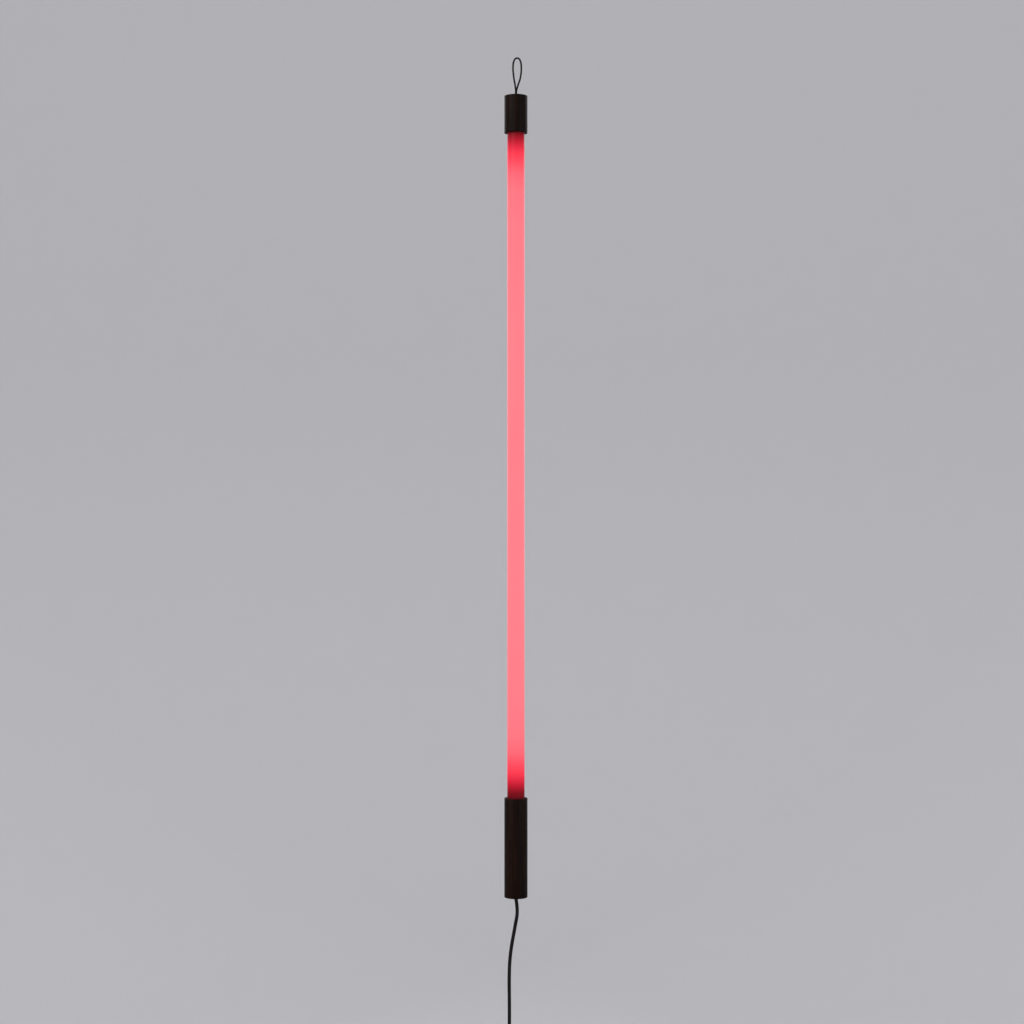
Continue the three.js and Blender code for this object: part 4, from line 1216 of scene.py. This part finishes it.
# One rib's outline: height as a share of the pitch, and depth in mm below its round face.
RIB_OUTLINE = [(0, 0.9), (0.12, 0.9), (0.2, 0.1), (0.3, 0), (0.62, 0), (0.72, 0.1), (0.8, 0.9)]
PIN_SPREAD = 9.3 * MM
PIN_RADIUS = 2 * MM
PIN_TIP = 1.1 * MM
PIN_CORE = PIN_RADIUS - 0.35 * MM
PIN_ROOT = 5 * MM
SLEEVED = 10 * MM
SLEEVE_BORE, SLEEVE_RADIUS = PIN_RADIUS - 0.3 * MM, PIN_RADIUS - 0.1 * MM


def plug_ring(z, width, thick, corner):
    return [Vector((TAIL_X + x, TAIL_Y + y, z)) for x, y in rounded_rectangle(width, thick, corner, 10)]


def round_ring(z, radius):
    return plug_ring(z, 2 * radius, 2 * radius, radius)


def make_plug_body():
    """The moulded body: flat face, round shoulders, and a relief of ribs down to the lead."""
    face, neck_radius = PLUG_LOW.z, PLUG_NECK / 2
    rings = []
    for z, inset in edge_levels(face, face + PLUG_STRAIGHT, PLUG_EDGE):
        size = (PLUG_WIDTH - 2 * inset, PLUG_THICK - 2 * inset, PLUG_CORNER - inset)
        rings.append(plug_ring(z, *size))
    steps = 10
    for k in range(steps + 1):
        angle = math.pi / 2 * k / steps
        narrow = 1 - math.cos(angle)
        z = PLUG_BODY_TOP - PLUG_SHOULDER * (1 - math.sin(angle))
        width = PLUG_WIDTH + (PLUG_NECK - PLUG_WIDTH) * narrow
        thick = PLUG_THICK + (PLUG_NECK - PLUG_THICK) * narrow
        corner = PLUG_CORNER + (neck_radius - PLUG_CORNER) * narrow
        rings.append(plug_ring(z, width, thick, min(corner, width / 2, thick / 2)))
    for k in range(RIBS):
        radius = neck_radius - (neck_radius - LAST_RIB_RADIUS) * k / (RIBS - 1)
        for rise, inset in RIB_OUTLINE:
            z = PLUG_BODY_TOP + RIB_PITCH * (k + 0.25 + rise)
            rings.append(round_ring(z, radius - inset * MM))
    rings.append(round_ring(PLUG_HIGH.z, PLUG_END_RADIUS))
    body = loft("moulded_plug", rings)
    return place_piece(body, BLACK_PLASTIC, "black_plastic", "plug_body")


def make_plug_pins():
    """Two round pins, each bare at its tip and in a plastic sleeve from there up."""
    tip, face = PIN_LOW.z, PLUG_LOW.z
    bare, root = face - SLEEVED, face + PIN_ROOT
    pin_outline = [
        (0, tip, 0), (PIN_RADIUS, tip, PIN_TIP), (PIN_RADIUS, bare, 0),
        (PIN_CORE, bare, 0), (PIN_CORE, root, 0), (0, root, 0),
    ]
    sleeve_outline = rectangle(SLEEVE_BORE, SLEEVE_RADIUS, bare, face + MM)
    made = []
    for side, offset in (("left", -PIN_SPREAD), ("right", PIN_SPREAD)):
        node = "plug_pin_" + side
        centre = (TAIL_X + offset, TAIL_Y)
        pin = lathe("metal_" + node, fillet(pin_outline), 40, centre)
        made.append(place_piece(pin, BRASS, "brass", node))
        sleeve = lathe("sleeve_" + node, fillet(sleeve_outline), 40, centre)
        made.append(place_piece(sleeve, BLACK_PLASTIC, "black_plastic"))
    return made


# ---- nodes that keep their CAD shape

KEPT = [
    (STEEL, ["loop_crimp", "loop_washer", "clamp_screw_left", "clamp_screw_right", "switch_pin"]),
    (RUBBER, ["top_sleeve_ring", "bottom_sleeve_ring"]),
    (WHITE_PLASTIC, ["top_end_plug", "bottom_end_plug", "led_board"]),
    (WHITE_PLASTIC, ["driver_fuse", "terminal_block", "cord_clamp"]),
    (ALUMINIUM, ["led_carrier"]),
    (PHOSPHOR, ["led_phosphor_strip"]),
    (JACKET, ["cord_inner"]),
    (BLACK_PLASTIC, ["driver_tray", "driver_capacitor", "driver_inductor", "led_lead_negative"]),
    (BOARD, ["driver_board"]),
    (YELLOW_TAPE, ["driver_transformer"]),
    (BROWN_CORE, ["mains_lead_live"]),
    (BLUE_CORE, ["mains_lead_neutral"]),
    (RED_CORE, ["led_lead_positive"]),
    (BRASS, ["switch_contact_in", "switch_contact_out"]),
]


def finish_kept_nodes():
    for material, nodes in KEPT:
        for node in nodes:
            for slot in bpy.data.objects[node].material_slots:
                slot.material = material


# ---- stage and light

ROOM_RADIUS = 9.0
ROOM_CORNER = 3.5
FLOOR_Z = -3.3
WALL_TOP = 8.0
LAMP_MIDDLE = Vector((0, 0, -0.8))

# Name, place, width and height, watts and colour of each softbox.
SOFTBOXES = [
    ("key", (-3.2, -3.4, 1.4), (2.2, 3.2), 260, (1, 0.985, 0.96)),
    ("fill", (3.8, -2.6, -0.4), (2.2, 3.2), 110, (1, 1, 1)),
    ("rear_left", (-2.6, 3.8, 0.4), (2.6, 3.6), 90, (1, 1, 1)),
    ("rear_right", (2.6, 3.8, 0.4), (2.6, 3.6), 90, (1, 1, 1)),
]


def make_stage():
    """A pale floor that curves up into a round wall, so that every side has the same plain ground."""
    flat = ROOM_RADIUS - ROOM_CORNER
    profile = [(0, FLOOR_Z), (flat, FLOOR_Z)]
    profile += arc((flat, FLOOR_Z + ROOM_CORNER), ROOM_CORNER, -math.pi / 2, math.pi / 2, 16)
    profile.append((ROOM_RADIUS, WALL_TOP))
    room = paint(lathe("stage_room", profile, sides=96, closed=False), pale_stage())


def soft_light(name, place, size, power, colour):
    """A softbox that faces the lamp's middle."""
    data = bpy.data.lights.new(name, "AREA")
    data.shape = "RECTANGLE"
    data.size, data.size_y = size
    data.energy = power
    data.color = colour
    light = link(name, data)
    light.location = place
    light.rotation_euler = (LAMP_MIDDLE - Vector(place)).to_track_quat("-Z", "Y").to_euler()
    light.visible_camera = False


def make_light():
    """Soft light from all round, and four softboxes."""
    world = bpy.data.worlds.new("world")
    world.use_nodes = True
    background = world.node_tree.nodes["Background"]
    background.inputs["Color"].default_value = (0.93, 0.94, 1.0, 1)
    background.inputs["Strength"].default_value = 0.9
    bpy.context.scene.world = world
    for softbox in SOFTBOXES:
        soft_light(*softbox)
    bpy.context.scene.view_settings.view_transform = "Standard"


# ---- the whole lamp

make_camera()
make_loop()
LEAD_UPPER, LEAD_LOWER = make_leads()
make_bush()
make_cap()
make_tube()
make_handle()
make_base()
make_grub_screw("cap_grub_screw", CAP_LOW.z + GRUB_IN)
make_grub_screw("handle_grub_screw", HANDLE_HIGH.z - GRUB_IN)
finish_kept_nodes()
KEPT_IN_SWITCH = [bpy.data.objects[n] for n in ("switch_pin", "switch_contact_in", "switch_contact_out")]
ON_UPPER_LEAD = [
    make_relief(),
    make_switch_cover(),
    make_switch_base(),
    make_rocker(),
    *make_switch_screws(),
    *KEPT_IN_SWITCH,
]
ON_LOWER_LEAD = [make_tie(), make_plug_body(), *make_plug_pins()]
make_stage()
make_light()
